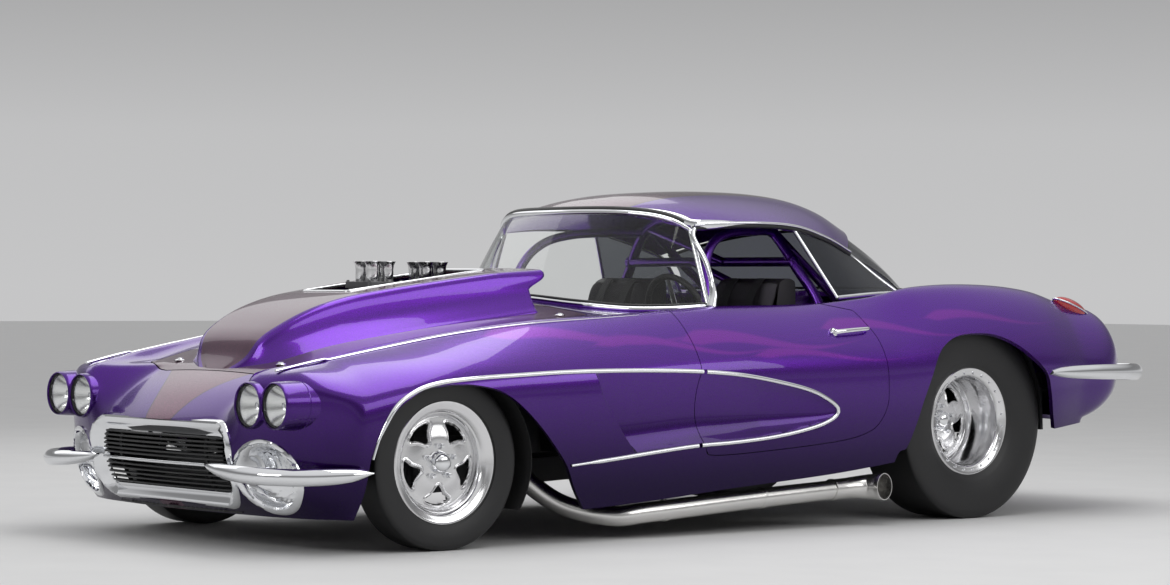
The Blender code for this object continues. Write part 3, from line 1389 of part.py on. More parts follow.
def wheels():
    for end, x, aft, z in (("front", FRONT_WHEEL_X, 0.0, FRONT_AXLE_Z), ("rear", REAR_WHEEL_X, WHEELBASE, REAR_AXLE_Z)):
        centre = place(x, aft, z)
        if end == "front":
            rubber = tyre(FRONT_TYRE_RADIUS, FRONT_TYRE_WIDTH, FRONT_RIM_WIDTH, centre)
            metal = rim(FRONT_RIM_WIDTH, 0.022, 0.010, centre, 0.052)
        else:
            rubber = tyre(REAR_TYRE_RADIUS, REAR_TYRE_WIDTH, REAR_RIM_WIDTH, centre)
            metal = rim(REAR_RIM_WIDTH, -0.020, 0.012, centre, 0.062)
        pair(rubber, "tyre_" + end, RUBBER, (x, aft, z))
        pair(metal, "rim_" + end, POLISHED, (x, aft, z))


def main():
    for old in list(bpy.data.objects):
        bpy.data.objects.remove(old)

    front, rear = nose_and_tail(*body_panels())
    rear = cut(rear, *rear_bracket(0.004), tail_lamp(SEAT_GAP), window_rail(SEAT_GAP), windshield_frame(SEAT_GAP),
               rear_glass_base(SEAT_GAP), body_mount(1, SEAT_GAP))
    front = cut(front, windshield_frame(SEAT_GAP), body_mount(0, SEAT_GAP))
    single(whole_of(front), "front_clip", PAINT)
    single(whole_of(rear), "rear_body", PAINT)

    single(grille_surround(), "grille_surround", CHROME)
    single(grille_bars(), "grille_bars", BLACK)
    pair(nostril_ring(), "nostril", CHROME)
    pair(front_bumper(), "front_bumper", CHROME)
    pair(rear_bumper(), "rear_bumper", CHROME)
    pair(lamps(), "headlamps", LENS)
    pair(tail_lamp(), "tail_lamp", RED_LENS)

    finish(whole_of(half_of(windshield_frame())), "windshield_frame", CHROME)
    finish(whole_of(half_of(windshield_glass())), "windshield_glass", GLASS)
    finish(whole_of(cut(half_of(roof_shell()), window_rail(SEAT_GAP), windshield_frame(SEAT_GAP))), "roof_shell", PAINT)
    finish(whole_of(cut(half_of(rear_glass()), window_rail(SEAT_GAP), rear_glass_base(SEAT_GAP))), "rear_glass", GLASS)
    finish(whole_of(half_of(rear_glass_base())), "rear_glass_base", CHROME)
    pair(window_rail(), "window_rail", CHROME)
    pair(quarter_glass(), "quarter_glass", GLASS)

    single(chassis(), "chassis_frame", STEEL)
    single(rear_axle(), "rear_axle", STEEL)
    single(floor_pan(), "floor_pan", STEEL)
    single(trunk_floor(), "trunk_floor", STEEL)
    single(engine(), "engine", STEEL)
    single(carburettors(), "carburettors", CHROME)
    pair(side_pipe(), "side_pipe", POLISHED)
    pair(knuckle(), "knuckle", STEEL, (KINGPIN_X, 0, FRONT_AXLE_Z))
    wheels()

    single(dash(), "dash", BLACK)
    single(seat(SEAT_X), "seat_driver", BLACK)
    single(seat(-SEAT_X), "seat_passenger", BLACK)
    single(cage(), "cage_hoop", PAINT)
    pair(cage_side(), "cage", PAINT)
    single(steering_wheel(), "steering_wheel", BLACK)
    on_axis(bpy.data.objects["steering_wheel"], place(*WHEEL_HUB))


main()
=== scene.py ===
"""Drag racing car: body, glass, wheels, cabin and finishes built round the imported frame, and its stage."""

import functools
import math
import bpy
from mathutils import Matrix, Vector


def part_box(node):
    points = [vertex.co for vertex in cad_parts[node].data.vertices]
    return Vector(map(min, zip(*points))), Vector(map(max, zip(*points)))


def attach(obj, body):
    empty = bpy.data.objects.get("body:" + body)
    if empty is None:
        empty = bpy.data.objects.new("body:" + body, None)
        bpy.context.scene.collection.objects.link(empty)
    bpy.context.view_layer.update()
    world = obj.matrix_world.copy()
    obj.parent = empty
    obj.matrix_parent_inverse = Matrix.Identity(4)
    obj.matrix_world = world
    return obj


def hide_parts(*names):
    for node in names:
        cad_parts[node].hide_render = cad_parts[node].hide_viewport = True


bl_info = {
    "name": "Drag racing car",
    "version": (1, 0, 0),
    "blender": (4, 5, 0),
    "location": "3D View > Sidebar > Racer",
    "description": "Builds the dressed pieces of a purple drag racing car round its frame",
    "category": "Object",
}

import bmesh
import bpy
import numpy as np
from mathutils import Matrix, Vector

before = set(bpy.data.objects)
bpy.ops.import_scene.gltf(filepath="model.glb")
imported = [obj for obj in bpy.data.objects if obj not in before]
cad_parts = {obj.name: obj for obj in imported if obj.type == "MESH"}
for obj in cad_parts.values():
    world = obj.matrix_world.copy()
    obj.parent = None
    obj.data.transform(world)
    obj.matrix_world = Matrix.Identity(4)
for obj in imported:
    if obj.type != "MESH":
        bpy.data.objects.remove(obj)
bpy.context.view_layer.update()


def middle_of(node):
    low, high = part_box(node)
    return (np.array(low) + np.array(high)) / 2


# Distances along the car are given aft of the front axle
AXLE_Y = float(middle_of("tyre_front_left")[1])
FRONT_AXLE = middle_of("tyre_front_left") - (0, AXLE_Y, 0)
REAR_AXLE = middle_of("tyre_rear_left") - (0, AXLE_Y, 0)
TAU = math.tau

# Control points of the body's half section: aft, top z, then x and z of valley, crown, widest, low and edge
BODY_SECTIONS = np.array((
    (-0.40, 0.625, 0.480, 0.625, 0.640, 0.655, 0.862, 0.535, 0.872, 0.320, 0.838, 0.122),
    (-0.15, 0.715, 0.495, 0.685, 0.655, 0.700, 0.890, 0.585, 0.892, 0.345, 0.850, 0.120),
    (0.15, 0.768, 0.510, 0.735, 0.675, 0.748, 0.900, 0.605, 0.895, 0.360, 0.850, 0.118),
    (0.50, 0.815, 0.535, 0.775, 0.700, 0.785, 0.902, 0.615, 0.892, 0.365, 0.845, 0.118),
    (0.90, 0.860, 0.570, 0.805, 0.735, 0.806, 0.903, 0.625, 0.890, 0.375, 0.848, 0.138),
    (1.30, 0.870, 0.610, 0.835, 0.752, 0.830, 0.905, 0.635, 0.893, 0.390, 0.852, 0.170),
    (1.80, 0.875, 0.620, 0.850, 0.762, 0.838, 0.908, 0.645, 0.900, 0.410, 0.860, 0.206),
    (2.10, 0.890, 0.640, 0.876, 0.772, 0.858, 0.910, 0.650, 0.903, 0.430, 0.868, 0.238),
    (2.35, 0.902, 0.600, 0.894, 0.768, 0.908, 0.912, 0.660, 0.903, 0.455, 0.872, 0.272),
    (2.70, 0.902, 0.530, 0.885, 0.755, 0.926, 0.910, 0.660, 0.900, 0.485, 0.870, 0.312),
    (3.05, 0.878, 0.505, 0.862, 0.732, 0.905, 0.890, 0.650, 0.882, 0.505, 0.850, 0.346),
    (3.30, 0.838, 0.490, 0.822, 0.700, 0.852, 0.845, 0.640, 0.842, 0.520, 0.805, 0.370),
))
NOSE_MIDDLE = np.array(((0.12, 0.120), (0.17, 0.070), (0.25, 0.020), (0.35, 0.000), (0.42, 0.022), (0.46, 0.050),
                        (0.50, 0.090), (0.535, 0.130), (0.575, 0.190), (0.61, 0.260), (0.64, 0.330)))
NOSE_SIDE = np.array(((0.12, 0.110), (0.20, 0.050), (0.30, 0.020), (0.42, 0.008), (0.50, 0.000), (0.57, 0.006),
                      (0.60, 0.022), (0.624, 0.050), (0.638, 0.130), (0.655, 0.230)))
TAIL_MIDDLE = np.array(((0.37, 0.260), (0.40, 0.160), (0.50, 0.030), (0.62, 0.000), (0.70, 0.080), (0.75, 0.180),
                        (0.80, 0.330), (0.84, 0.480)))
TAIL_SIDE = np.array(((0.37, 0.320), (0.40, 0.180), (0.447, 0.080), (0.511, 0.018), (0.62, 0.000), (0.712, 0.033),
                      (0.804, 0.122), (0.857, 0.245), (0.90, 0.420)))
NOSE_AFT, TAIL_AFT = -0.690, 3.750
FIRST_AFT, LAST_AFT = -0.40, 3.30

# Shapes on the body's side as (aft, z), and on its top as (x, aft)
DOOR_OUTLINE = ((1.103, 1.00), (1.103, 0.690), (1.111, 0.503), (1.127, 0.393), (1.151, 0.330), (1.196, 0.299),
                (1.524, 0.312), (1.836, 0.337), (1.971, 0.365), (2.030, 0.402), (2.064, 0.467), (2.060, 0.544),
                (2.043, 0.711), (2.012, 0.784), (1.990, 0.830), (1.985, 1.00))
ARCH_FRONT = ((-0.420, 0.05), (-0.372, 0.20), (-0.356, 0.325), (-0.336, 0.375), (-0.313, 0.427), (-0.266, 0.491),
              (-0.201, 0.538), (-0.138, 0.565), (-0.070, 0.576), (0.0, 0.578), (0.067, 0.574), (0.151, 0.558),
              (0.211, 0.531), (0.279, 0.486), (0.365, 0.417), (0.435, 0.348), (0.497, 0.278), (0.540, 0.202),
              (0.594, 0.126), (0.640, 0.05))
ARCH_REAR = ((2.100, 0.10), (2.154, 0.272), (2.200, 0.299), (2.243, 0.413), (2.287, 0.549), (2.330, 0.643),
             (2.387, 0.696), (2.475, 0.732), (2.588, 0.742), (2.702, 0.734), (2.818, 0.694), (2.938, 0.614),
             (3.008, 0.540), (3.057, 0.420), (3.080, 0.370), (3.110, 0.30))
TRIM_LINE = ((-0.349, 0.328), (-0.324, 0.412), (-0.271, 0.502), (-0.192, 0.554), (-0.086, 0.583), (0.086, 0.598),
             (0.262, 0.606), (0.442, 0.613), (0.625, 0.616), (0.860, 0.615), (1.087, 0.609), (1.300, 0.593),
             (1.502, 0.562), (1.658, 0.528), (1.763, 0.485), (1.800, 0.454), (1.779, 0.424), (1.685, 0.392),
             (1.504, 0.362), (1.302, 0.345), (1.104, 0.336), (0.910, 0.319), (0.721, 0.300), (0.513, 0.281))
HOOD_OUTLINE = ((0.0, -0.430), (0.30, -0.430), (0.45, -0.402), (0.472, -0.385), (0.500, 0.880), (0.488, 0.900), (0.0, 0.900))
LID_OUTLINE = ((0.0, 2.800), (0.415, 2.800), (0.430, 2.815), (0.430, 3.500), (0.370, 3.560), (0.0, 3.560))
COCKPIT = ((0.0, 0.985), (0.47, 1.08), (0.62, 1.22), (0.650, 1.365), (0.7125, 1.385), (0.7125, 1.970), (0.660, 2.10),
           (0.61, 2.28), (0.40, 2.46), (0.0, 2.47))
SPLIT = ((-1.2, -0.2), (1.20, -0.2), (1.20, 0.45), (1.15, 0.60), (1.125, 0.740), (1.392, 0.790), (1.392, 1.50), (-1.2, 1.5))
GRILLE = (0.415, 0.185, 0.405, 0.055)
NOSTRIL = (0.600, 0.262, 0.125, 0.115)
LAMP_PLACES = ((0.715, 0.509), (0.554, 0.506))
LAMP_RADIUS, LAMP_FACE = 0.0706, -0.622

SCOOP = np.array((
    (-0.425, 0.130, 0.085, 0.600, 0.602), (-0.385, 0.215, 0.165, 0.610, 0.655), (-0.350, 0.255, 0.200, 0.630, 0.720),
    (-0.290, 0.285, 0.225, 0.660, 0.768), (-0.175, 0.310, 0.245, 0.690, 0.826), (-0.035, 0.328, 0.258, 0.718, 0.870),
    (0.120, 0.338, 0.268, 0.745, 0.898), (0.400, 0.345, 0.282, 0.785, 0.937), (0.640, 0.350, 0.292, 0.815, 0.966),
    (0.760, 0.352, 0.298, 0.830, 0.979),
))
GLASS_FOOT = np.array(((0.0, 0.955), (0.30, 0.985), (0.50, 1.070), (0.620, 1.190), (0.682, 1.335)))
GLASS_TOP = np.array(((0.0, 1.160, 1.205), (0.28, 1.190, 1.203), (0.44, 1.250, 1.190), (0.53, 1.300, 1.165),
                      (0.575, 1.340, 1.130)))
ROOF_SIDE = np.array(((0.575, 1.335, 1.150), (0.600, 1.575, 1.166), (0.602, 1.830, 1.160), (0.592, 2.020, 1.118),
                      (0.565, 2.175, 1.062)))
ROOF_CROWN = np.array(((1.165, 1.222), (1.32, 1.262), (1.50, 1.288), (1.80, 1.302), (2.10, 1.292), (2.30, 1.252),
                       (2.47, 1.180)))
REAR_TOP = np.array(((0.0, 2.462, 1.156), (0.28, 2.399, 1.137), (0.44, 2.292, 1.094), (0.54, 2.196, 1.050)))
REAR_BASE = np.array(((0.0, 2.745, 0.922), (0.30, 2.690, 0.918), (0.52, 2.520, 0.914), (0.655, 2.370, 0.912)))
RAIL_PATH = np.array(((0.586, 1.357, 1.140), (0.604, 1.575, 1.152), (0.606, 1.830, 1.146), (0.597, 2.020, 1.104),
                      (0.573, 2.175, 1.050), (0.610, 2.290, 0.965), (0.655, 2.370, 0.900)))
SILL_PATH = np.array(((0.700, 1.990, 0.880), (0.690, 2.180, 0.893), (0.655, 2.370, 0.900)))
BAR_PATH = np.array(((0.607, 1.850, 1.137), (0.700, 1.990, 0.880)))
FRONT_BLADE = np.array(((0.370, -0.672, 0.300, 0.010), (0.410, -0.690, 0.292, 0.034), (0.500, -0.706, 0.283, 0.050),
                        (0.620, -0.708, 0.277, 0.056), (0.730, -0.670, 0.273, 0.058), (0.820, -0.582, 0.272, 0.058),
                        (0.880, -0.470, 0.276, 0.052), (0.898, -0.415, 0.281, 0.038), (0.905, -0.374, 0.285, 0.012)))
REAR_BLADE = np.array(((0.912, 2.985, 0.583, 0.020), (0.918, 3.080, 0.582, 0.046), (0.912, 3.280, 0.581, 0.060),
                       (0.872, 3.500, 0.578, 0.064), (0.790, 3.665, 0.574, 0.068), (0.660, 3.765, 0.570, 0.070),
                       (0.480, 3.796, 0.566, 0.070), (0.330, 3.796, 0.564, 0.056)))
TAIL_LAMP, TAIL_LAMP_SIZE = (0.705, 3.335, 0.842), (0.040, 0.098, 0.034)
HOOP_HALF = np.array(((0.0, 1.930, 1.205), (0.22, 1.930, 1.200), (0.33, 1.932, 1.175), (0.42, 1.938, 1.110),
                      (0.51, 1.958, 0.990), (0.600, 1.980, 0.865), (0.640, 1.990, 0.700)))
SIDE_BAR = np.array(((0.645, 1.345, 0.600), (0.615, 1.385, 0.820), (0.565, 1.425, 1.000), (0.525, 1.500, 1.090),
                     (0.485, 1.620, 1.128), (0.440, 1.800, 1.140), (0.400, 1.925, 1.140)))
PIPE_PATH = np.array(((0.345, 0.40, 0.450), (0.40, 0.425, 0.430), (0.48, 0.50, 0.300), (0.60, 0.66, 0.135),
                      (0.74, 0.80, 0.084), (0.80, 0.95, 0.094), (0.80, 1.45, 0.122), (0.80, 1.90, 0.143)))
PIPE_OUTLET = np.array(((0.800, 1.870, 0.1415), (0.801, 1.930, 0.1445), (0.808, 1.985, 0.1475), (0.832, 2.030, 0.1500),
                        (0.872, 2.052, 0.1520), (0.905, 2.060, 0.1530)))
WHEEL_HUB, COLUMN_ROOT = np.array((0.370, 1.455, 0.800)), np.array((0.370, 0.968, 0.642))
CARB_AFTS, STACK_PITCH = (0.281, 0.525), 0.067
RIM_RADIUS, RIM_WELL = 0.209, 0.178
DOORS, HOOD_BOTH = ("door_left", "door_right"), ("hood", "hood")


def size(name):
    """A size that the sidebar holds, free of the rounding that its storage adds."""
    return round(getattr(bpy.context.scene.racer_sizes, name), 6)


def tone(name):
    """A colour that the sidebar holds, as a shader takes it."""
    return shaded(getattr(bpy.context.scene.racer_colours, name))


def shaded(colour, share=1.0):
    """A colour darkened by a share, as a shader takes it."""
    return tuple(share * c for c in colour) + (1,)


# Curves and surfaces, all worked out as whole arrays

def hermite(table, at):
    """Columns of a table read at its first column: cubic through each pair of rows, slopes from their neighbours."""
    table = np.asarray(table, float)
    knots, rows = table[:, 0], table[:, 1:]
    slope = np.empty_like(rows)
    slope[1:-1] = (rows[2:] - rows[:-2]) / (knots[2:] - knots[:-2])[:, None]
    slope[0] = (rows[1] - rows[0]) / (knots[1] - knots[0])
    slope[-1] = (rows[-1] - rows[-2]) / (knots[-1] - knots[-2])
    at = np.clip(np.asarray(at, float), knots[0], knots[-1])
    i = np.clip(np.searchsorted(knots, at, side="right") - 1, 0, len(knots) - 2)
    width = (knots[i + 1] - knots[i])[..., None]
    t = (at - knots[i])[..., None] / width
    return (rows[i] * (2 * t ** 3 - 3 * t ** 2 + 1) + slope[i] * width * (t ** 3 - 2 * t ** 2 + t)
            + rows[i + 1] * (3 * t ** 2 - 2 * t ** 3) + slope[i + 1] * width * (t ** 3 - t ** 2))


def blended(a, b, c, d, t):
    """The cubic from b to c whose slopes at its ends are half of c - a and half of d - b."""
    return 0.5 * (2 * b + (c - a) * t + (2 * a - 5 * b + 4 * c - d) * t ** 2 + (3 * b - a - 3 * c + d) * t ** 3)


def across(points, counts):
    """Rows of (x, z) points as curves, with a number of steps between each two, that start level at the middle."""
    first = points[:, 1:2] * (-1, 1)
    last = 2 * points[:, -1:] - points[:, -2:-1]
    p = np.concatenate([first, points, last], axis=1)
    parts = []
    for i, count in enumerate(counts):
        t = (np.arange(count) / count)[None, :, None]
        parts.append(blended(*(p[:, i + k:i + k + 1] for k in range(4)), t))
    return np.concatenate(parts + [points[:, -1:]], axis=1)


def through(points, per, closed=False):
    """A curve that passes through the points: each step blends four neighbours."""
    p = np.asarray(points, float)
    if closed:
        a, b, c, d = (np.roll(p, k, axis=0) for k in (1, 0, -1, -2))
    else:
        q = np.concatenate([2 * p[:1] - p[1:2], p, 2 * p[-1:] - p[-2:-1]])
        a, b, c, d = q[:-3], q[1:-2], q[2:-1], q[3:]
    t = (np.arange(per) / per)[None, :, None]
    made = blended(*(v[:, None, :] for v in (a, b, c, d)), t).reshape(-1, p.shape[1])
    return made if closed else np.concatenate([made, p[-1:]])


def even(path, count):
    """The same line with its points an equal distance apart."""
    path = np.asarray(path, float)
    run = np.concatenate([[0.0], np.cumsum(np.linalg.norm(np.diff(path, axis=0), axis=1))])
    at = np.linspace(0, run[-1], count)
    return np.stack([np.interp(at, run, path[:, k]) for k in range(path.shape[1])], axis=1)


def step(value, low, high):
    """0 below low, 1 above high, and an S-shaped rise between."""
    t = np.clip((value - low) / (high - low), 0.0, 1.0)
    return t * t * (3 - 2 * t)


def lesser(a, b, soft):
    """The smaller of two values, its corner rounded over a distance."""
    h = np.clip(0.5 + 0.5 * (b - a) / soft, 0.0, 1.0)
    return b * (1 - h) + a * h - soft * h * (1 - h)


def nose_at(x, z):
    """How far aft the nose's face lies: its middle and side lines, mixed, and a bow across the car."""
    x = np.abs(x)
    side = step(x, 0.35, 0.55)
    return (NOSE_AFT + 0.07 * (x / 0.63) ** 2 + 0.06 * (x / 0.80) ** 12
            + hermite(NOSE_MIDDLE, z)[..., 0] * (1 - side) + hermite(NOSE_SIDE, z)[..., 0] * side)


def tail_at(x, z):
    """How far aft the tail's face lies, made in the same way."""
    x = np.abs(x)
    side = np.minimum(x / 0.70, 1.0) ** 2
    return (TAIL_AFT - 0.10 * (x / 0.68) ** 5 - hermite(TAIL_MIDDLE, z)[..., 0] * (1 - side)
            - hermite(TAIL_SIDE, z)[..., 0] * side)


def sections(afts):
    """Half sections as (x, z): curves from the middle of the top through the control points to the edge."""
    s = hermite(BODY_SECTIONS, afts)
    top = np.stack([np.zeros(len(s)), s[:, 0]], 1)
    return across(np.stack([top] + [s[:, k:k + 2] for k in (1, 3, 5, 7, 9)], 1), SPANS)


SPANS = (40, 14, 34, 34, 14)
CROWN = SPANS[0] + SPANS[1]


def skin_height(x, aft):
    """Height of the body's top over a place."""
    half = sections(np.atleast_1d(float(aft)))[0]
    count = int(np.argmax(half[:, 0]))
    return float(np.interp(x, half[:count, 0], half[:count, 1]))


def skin_reach(aft, z):
    """Half-width of the body's side at places given as arrays of one shape, with the hollow in it."""
    aft, z = np.broadcast_arrays(np.asarray(aft, float), np.asarray(z, float))
    half = sections(aft.ravel())[:, CROWN:]
    made = np.array([np.interp(v, row[::-1, 1], row[::-1, 0]) for v, row in zip(z.ravel(), half)])
    return made.reshape(aft.shape) - hollow(aft, z)


def outline_distance(points, outline, closed=True):
    """Distance to a line of points, and whether each point is inside: above zero inside the outline."""
    line = np.asarray(outline, float)
    a, b = line, np.roll(line, -1, axis=0)
    p = points[:, None, :]
    edge = b - a
    span = a[:-1] if not closed else a
    reach = edge[:len(span)]
    t = np.clip(((p - span) * reach).sum(-1) / np.maximum((reach ** 2).sum(-1), 1e-12), 0, 1)
    away = np.linalg.norm(p - span - t[..., None] * reach, axis=-1).min(axis=1)
    over = (a[:, 1] > p[..., 1]) != (b[:, 1] > p[..., 1])
    rise = np.where(edge[:, 1] == 0, 1e-12, edge[:, 1])
    left = p[..., 0] < (p[..., 1] - a[:, 1]) / rise * edge[:, 0] + a[:, 0]
    inside = ((over & left).sum(axis=1) % 2) == 1
    return np.where(inside, away, -away)


def near(points, outline, margin=0.08, closed=True):
    """outline_distance for the points in the outline's own box, and a plain outside value elsewhere."""
    line = np.asarray(outline, float)
    low, high = line.min(0) - margin, line.max(0) + margin
    close = ((points > low) & (points < high)).all(axis=1)
    made = np.full(len(points), -margin)
    if close.any():
        made[close] = outline_distance(points[close], line, closed)
    return made


TRIM_CURVE = through(TRIM_LINE, 8)
TRIM_TIP = int(np.argmax(TRIM_CURVE[:, 0]))
COVE_FRONT = through(((0.585, 0.640), (0.600, 0.612), (0.635, 0.519), (0.691, 0.450), (0.753, 0.377), (0.824, 0.298)), 6)
COVE_MIDDLE = 0.70


def hollow(aft, z):
    """Depth of the recess in the body's side: a wall at its front line, then a bowl that is deepest below its
    middle, comes out to both trims, and grows shallow as it narrows towards the tip."""
    flat = np.stack([np.ravel(aft), np.ravel(z)], axis=1)
    low, high = np.array((0.57, 0.27)), np.array((1.82, 0.64))
    close = ((flat > low) & (flat < high)).all(axis=1)
    made = np.zeros(len(flat))
    if close.any():
        p = flat[close]
        front = np.abs(outline_distance(p, COVE_FRONT, closed=False))
        behind = p[:, 0] > np.interp(-p[:, 1], -COVE_FRONT[:, 1], COVE_FRONT[:, 0])
        upper, lower = TRIM_CURVE[:TRIM_TIP + 1], TRIM_CURVE[TRIM_TIP:][::-1]
        top = np.interp(p[:, 0], upper[:, 0], upper[:, 1])
        foot = np.interp(p[:, 0], lower[:, 0], lower[:, 1])
        share = np.clip((p[:, 1] - foot) / np.maximum(top - foot, 0.002), 0.0, 1.0)
        away = np.abs(share - 0.45) / np.where(share > 0.45, 0.55, 0.45)
        deepest = np.minimum(size("recess_depth"), 0.21 * (top - foot))
        depth = deepest * (1 - away ** np.where(share > 0.45, 2.6, 1.8))
        made[close] = np.where(behind, depth * step(front, 0.0, 0.013), 0.0)
    return made.reshape(np.shape(aft))


def body_surface():
    """The car's outer skin on its left half, as a grid of (x, aft, z) from the nose's lower lip to the tail's.

    Between the end stations each row is a section. Before and after them the end section shrinks towards the
    middle of its lower edge, and every point slides along the car onto the nose's or the tail's face.
    """
    afts = np.concatenate([np.linspace(a, b, n, endpoint=False) for a, b, n in (
        (FIRST_AFT, 0.55, 66), (0.55, 0.68, 14), (0.68, 0.73, 20), (0.73, 0.90, 18), (0.90, 1.90, 96),
        (1.90, LAST_AFT, 96))] + [[LAST_AFT]])
    main = sections(afts)
    # rows lean over with the recess's front line, so that its wall stays crisp
    lean = np.interp(main[..., 1], COVE_FRONT[::-1, 1], COVE_FRONT[::-1, 0]) - COVE_MIDDLE
    lean *= 1 - step(main[..., 1], 0.66, 0.76)
    moved = afts[:, None] + lean * (step(afts, 0.28, 0.62) * (1 - step(afts, 0.80, 1.20)))[:, None]
    for k in range(main.shape[1]):
        main[:, k] = np.stack([np.interp(moved[:, k], afts, main[:, k, n]) for n in (0, 1)], axis=1)
    body = np.stack([main[..., 0], moved, main[..., 1]], axis=-1)
    share = 1 - (np.arange(1, 45) / 44) ** 1.5
    ends = []
    for row, face, sign, start in ((main[0], nose_at, -1, FIRST_AFT), (main[-1], tail_at, 1, LAST_AFT)):
        floor = row[-1, 1]
        x = row[None, :, 0] * share[:, None]
        z = floor + (row[None, :, 1] - floor) * share[:, None]
        near_end = start + sign * 0.012 * (1 - share)[:, None] + 0 * x
        aft = sign * -lesser(-sign * near_end, -sign * face(x, z), 0.02)
        ends.append(np.stack([x, aft, z], axis=-1))
    whole = np.concatenate([ends[0][::-1], body, ends[1]])
    for low, high in ((2, 70), (len(whole) - 70, len(whole) - 2)):
        for _ in range(6):
            before, after = whole[low - 1:high - 1], whole[low + 1:high + 1]
            whole[low:high] = 0.25 * before + 0.5 * whole[low:high] + 0.25 * after
    side = step(whole[..., 0], 0.80, 0.84)
    whole[..., 0] -= side * hollow(whole[..., 1], whole[..., 2])
    return whole


def grid_faces(rows, columns, wrap=False):
    """Four-cornered faces of a grid, closed on itself across when it wraps."""
    i, k = np.meshgrid(np.arange(rows - 1), np.arange(columns if wrap else columns - 1), indexing="ij")
    n = (k + 1) % columns
    a, b = i * columns, (i + 1) * columns
    return np.stack([a + k, a + n, b + n, b + k], axis=-1).reshape(-1, 4)


def triangles(quads):
    return np.concatenate([quads[:, [0, 1, 2]], quads[:, [0, 2, 3]]])


def weld(verts, tris):
    """Points at the same place become one, and faces that lose a corner go."""
    _, index, back = np.unique(np.round(verts, 6), axis=0, return_index=True, return_inverse=True)
    tris = np.ravel(back)[tris]
    kept = (tris[:, 0] != tris[:, 1]) & (tris[:, 1] != tris[:, 2]) & (tris[:, 2] != tris[:, 0])
    return verts[index], tris[kept]


def sheet(rows, wrap=False):
    """Rows of points as welded triangles."""
    return weld(rows.reshape(-1, 3), triangles(grid_faces(*rows.shape[:2], wrap=wrap)))


def upward(verts, tris):
    """The same sheet, turned over if it faces down on the whole."""
    return verts, tris[:, ::-1] if point_normals(verts, tris)[:, 2].sum() < 0 else tris


def clip(verts, tris, value):
    """The part of a triangle mesh where a value is above zero, cut where the value crosses zero."""
    value = np.where(np.abs(value) < 1e-7, 1e-7, value)
    inside = value > 0
    count = inside[tris].sum(axis=1)
    parts = [tris[count == 3]]
    points = [verts]
    total = len(verts)

    def crossing(a, b):
        t = value[a] / (value[a] - value[b])
        return verts[a] + (verts[b] - verts[a]) * t[:, None]

    for wanted in (1, 2):
        some = tris[count == wanted]
        if not len(some):
            continue
        lone = inside[some] if wanted == 1 else ~inside[some]
        first = lone.argmax(axis=1)
        turned = some[np.arange(len(some))[:, None], (first[:, None] + np.arange(3)) % 3]
        a, b, c = turned.T
        p, q = crossing(a, b), crossing(a, c)
        i = total + np.arange(len(some))
        j = i + len(some)
        points += [p, q]
        total += 2 * len(some)
        if wanted == 1:
            parts.append(np.stack([a, i, j], axis=1))
        else:
            parts.append(np.stack([i, b, c], axis=1))
            parts.append(np.stack([i, c, j], axis=1))
    verts = np.concatenate(points)
    tris = np.concatenate(parts)
    used, tris = np.unique(tris, return_inverse=True)
    return weld(verts[used], tris.reshape(-1, 3))


def both_halves(verts, tris):
    """A half and its mirror image, joined along the middle of the car."""
    other = verts * (-1, 1, 1)
    return weld(np.concatenate([verts, other]), np.concatenate([tris, tris[:, ::-1] + len(verts)]))


def point_normals(verts, tris):
    a, b, c = (verts[tris[:, k]] for k in range(3))
    flat = np.cross(b - a, c - a)
    made = np.zeros_like(verts)
    for k in range(3):
        np.add.at(made, tris[:, k], flat)
    return made / np.maximum(np.linalg.norm(made, axis=1, keepdims=True), 1e-12)


def thick(verts, tris, wall):
    """A sheet with a wall: the same sheet set back along its normals, and a rim round every open edge."""
    inner = verts - point_normals(verts, tris) * wall
    edges = np.concatenate([tris[:, [0, 1]], tris[:, [1, 2]], tris[:, [2, 0]]])
    count = len(verts)
    open_edge = edges[~np.isin(edges[:, 0] * count + edges[:, 1], edges[:, 1] * count + edges[:, 0])]
    a, b = open_edge.T
    rim = np.concatenate([np.stack([b, a, a + count], 1), np.stack([b, a + count, b + count], 1)])
    return np.concatenate([verts, inner]), np.concatenate([tris, tris[:, ::-1] + count, rim])


def sweep(path, section, up=(0, 0, 1), closed=False, sizes=None):
    """A section of (side, up) points carried along a path, square to it, with its ends closed in their middle."""
    path = np.asarray(path, float)
    if closed:
        along = np.roll(path, -1, axis=0) - np.roll(path, 1, axis=0)
    else:
        along = np.gradient(path, axis=0)
    along /= np.linalg.norm(along, axis=1, keepdims=True)
    side = np.cross(along, np.broadcast_to(np.asarray(up, float), path.shape))
    side /= np.linalg.norm(side, axis=1, keepdims=True)
    top = np.cross(side, along)
    section = np.asarray(section, float)
    size = np.ones(len(path)) if sizes is None else np.asarray(sizes, float)
    rings = (path[:, None] + side[:, None] * (section[None, :, :1] * size[:, None, None])
             + top[:, None] * (section[None, :, 1:] * size[:, None, None]))
    if closed:
        rings = np.concatenate([rings, rings[:1]])
    else:
        ends = [np.repeat(path[k:k + 1, None], len(section), 1) for k in (0, -1)]
        rings = np.concatenate([ends[0], rings, ends[1]])
    return rings.reshape(-1, 3), grid_faces(len(rings), len(section), wrap=True)


def open_tube(part, count, wall):
    """A swept solid made hollow from its far end: its last cap turns in, and runs back down inside as a lining."""
    rings = np.asarray(part[0]).reshape(-1, count, 3)[1:-1]
    middle = rings.mean(axis=1, keepdims=True)
    reach = np.linalg.norm(rings - middle, axis=2, keepdims=True)
    inner = middle + (rings - middle) * (reach - wall) / reach
    rings = np.concatenate([rings, inner[::-1], rings[:1]])
    return rings.reshape(-1, 3), grid_faces(len(rings), count, wrap=True)


def circle(radius, count=16, flat=1.0):
    t = np.arange(count) / count * TAU
    return np.stack([radius * np.cos(t), radius * flat * np.sin(t)], axis=1)


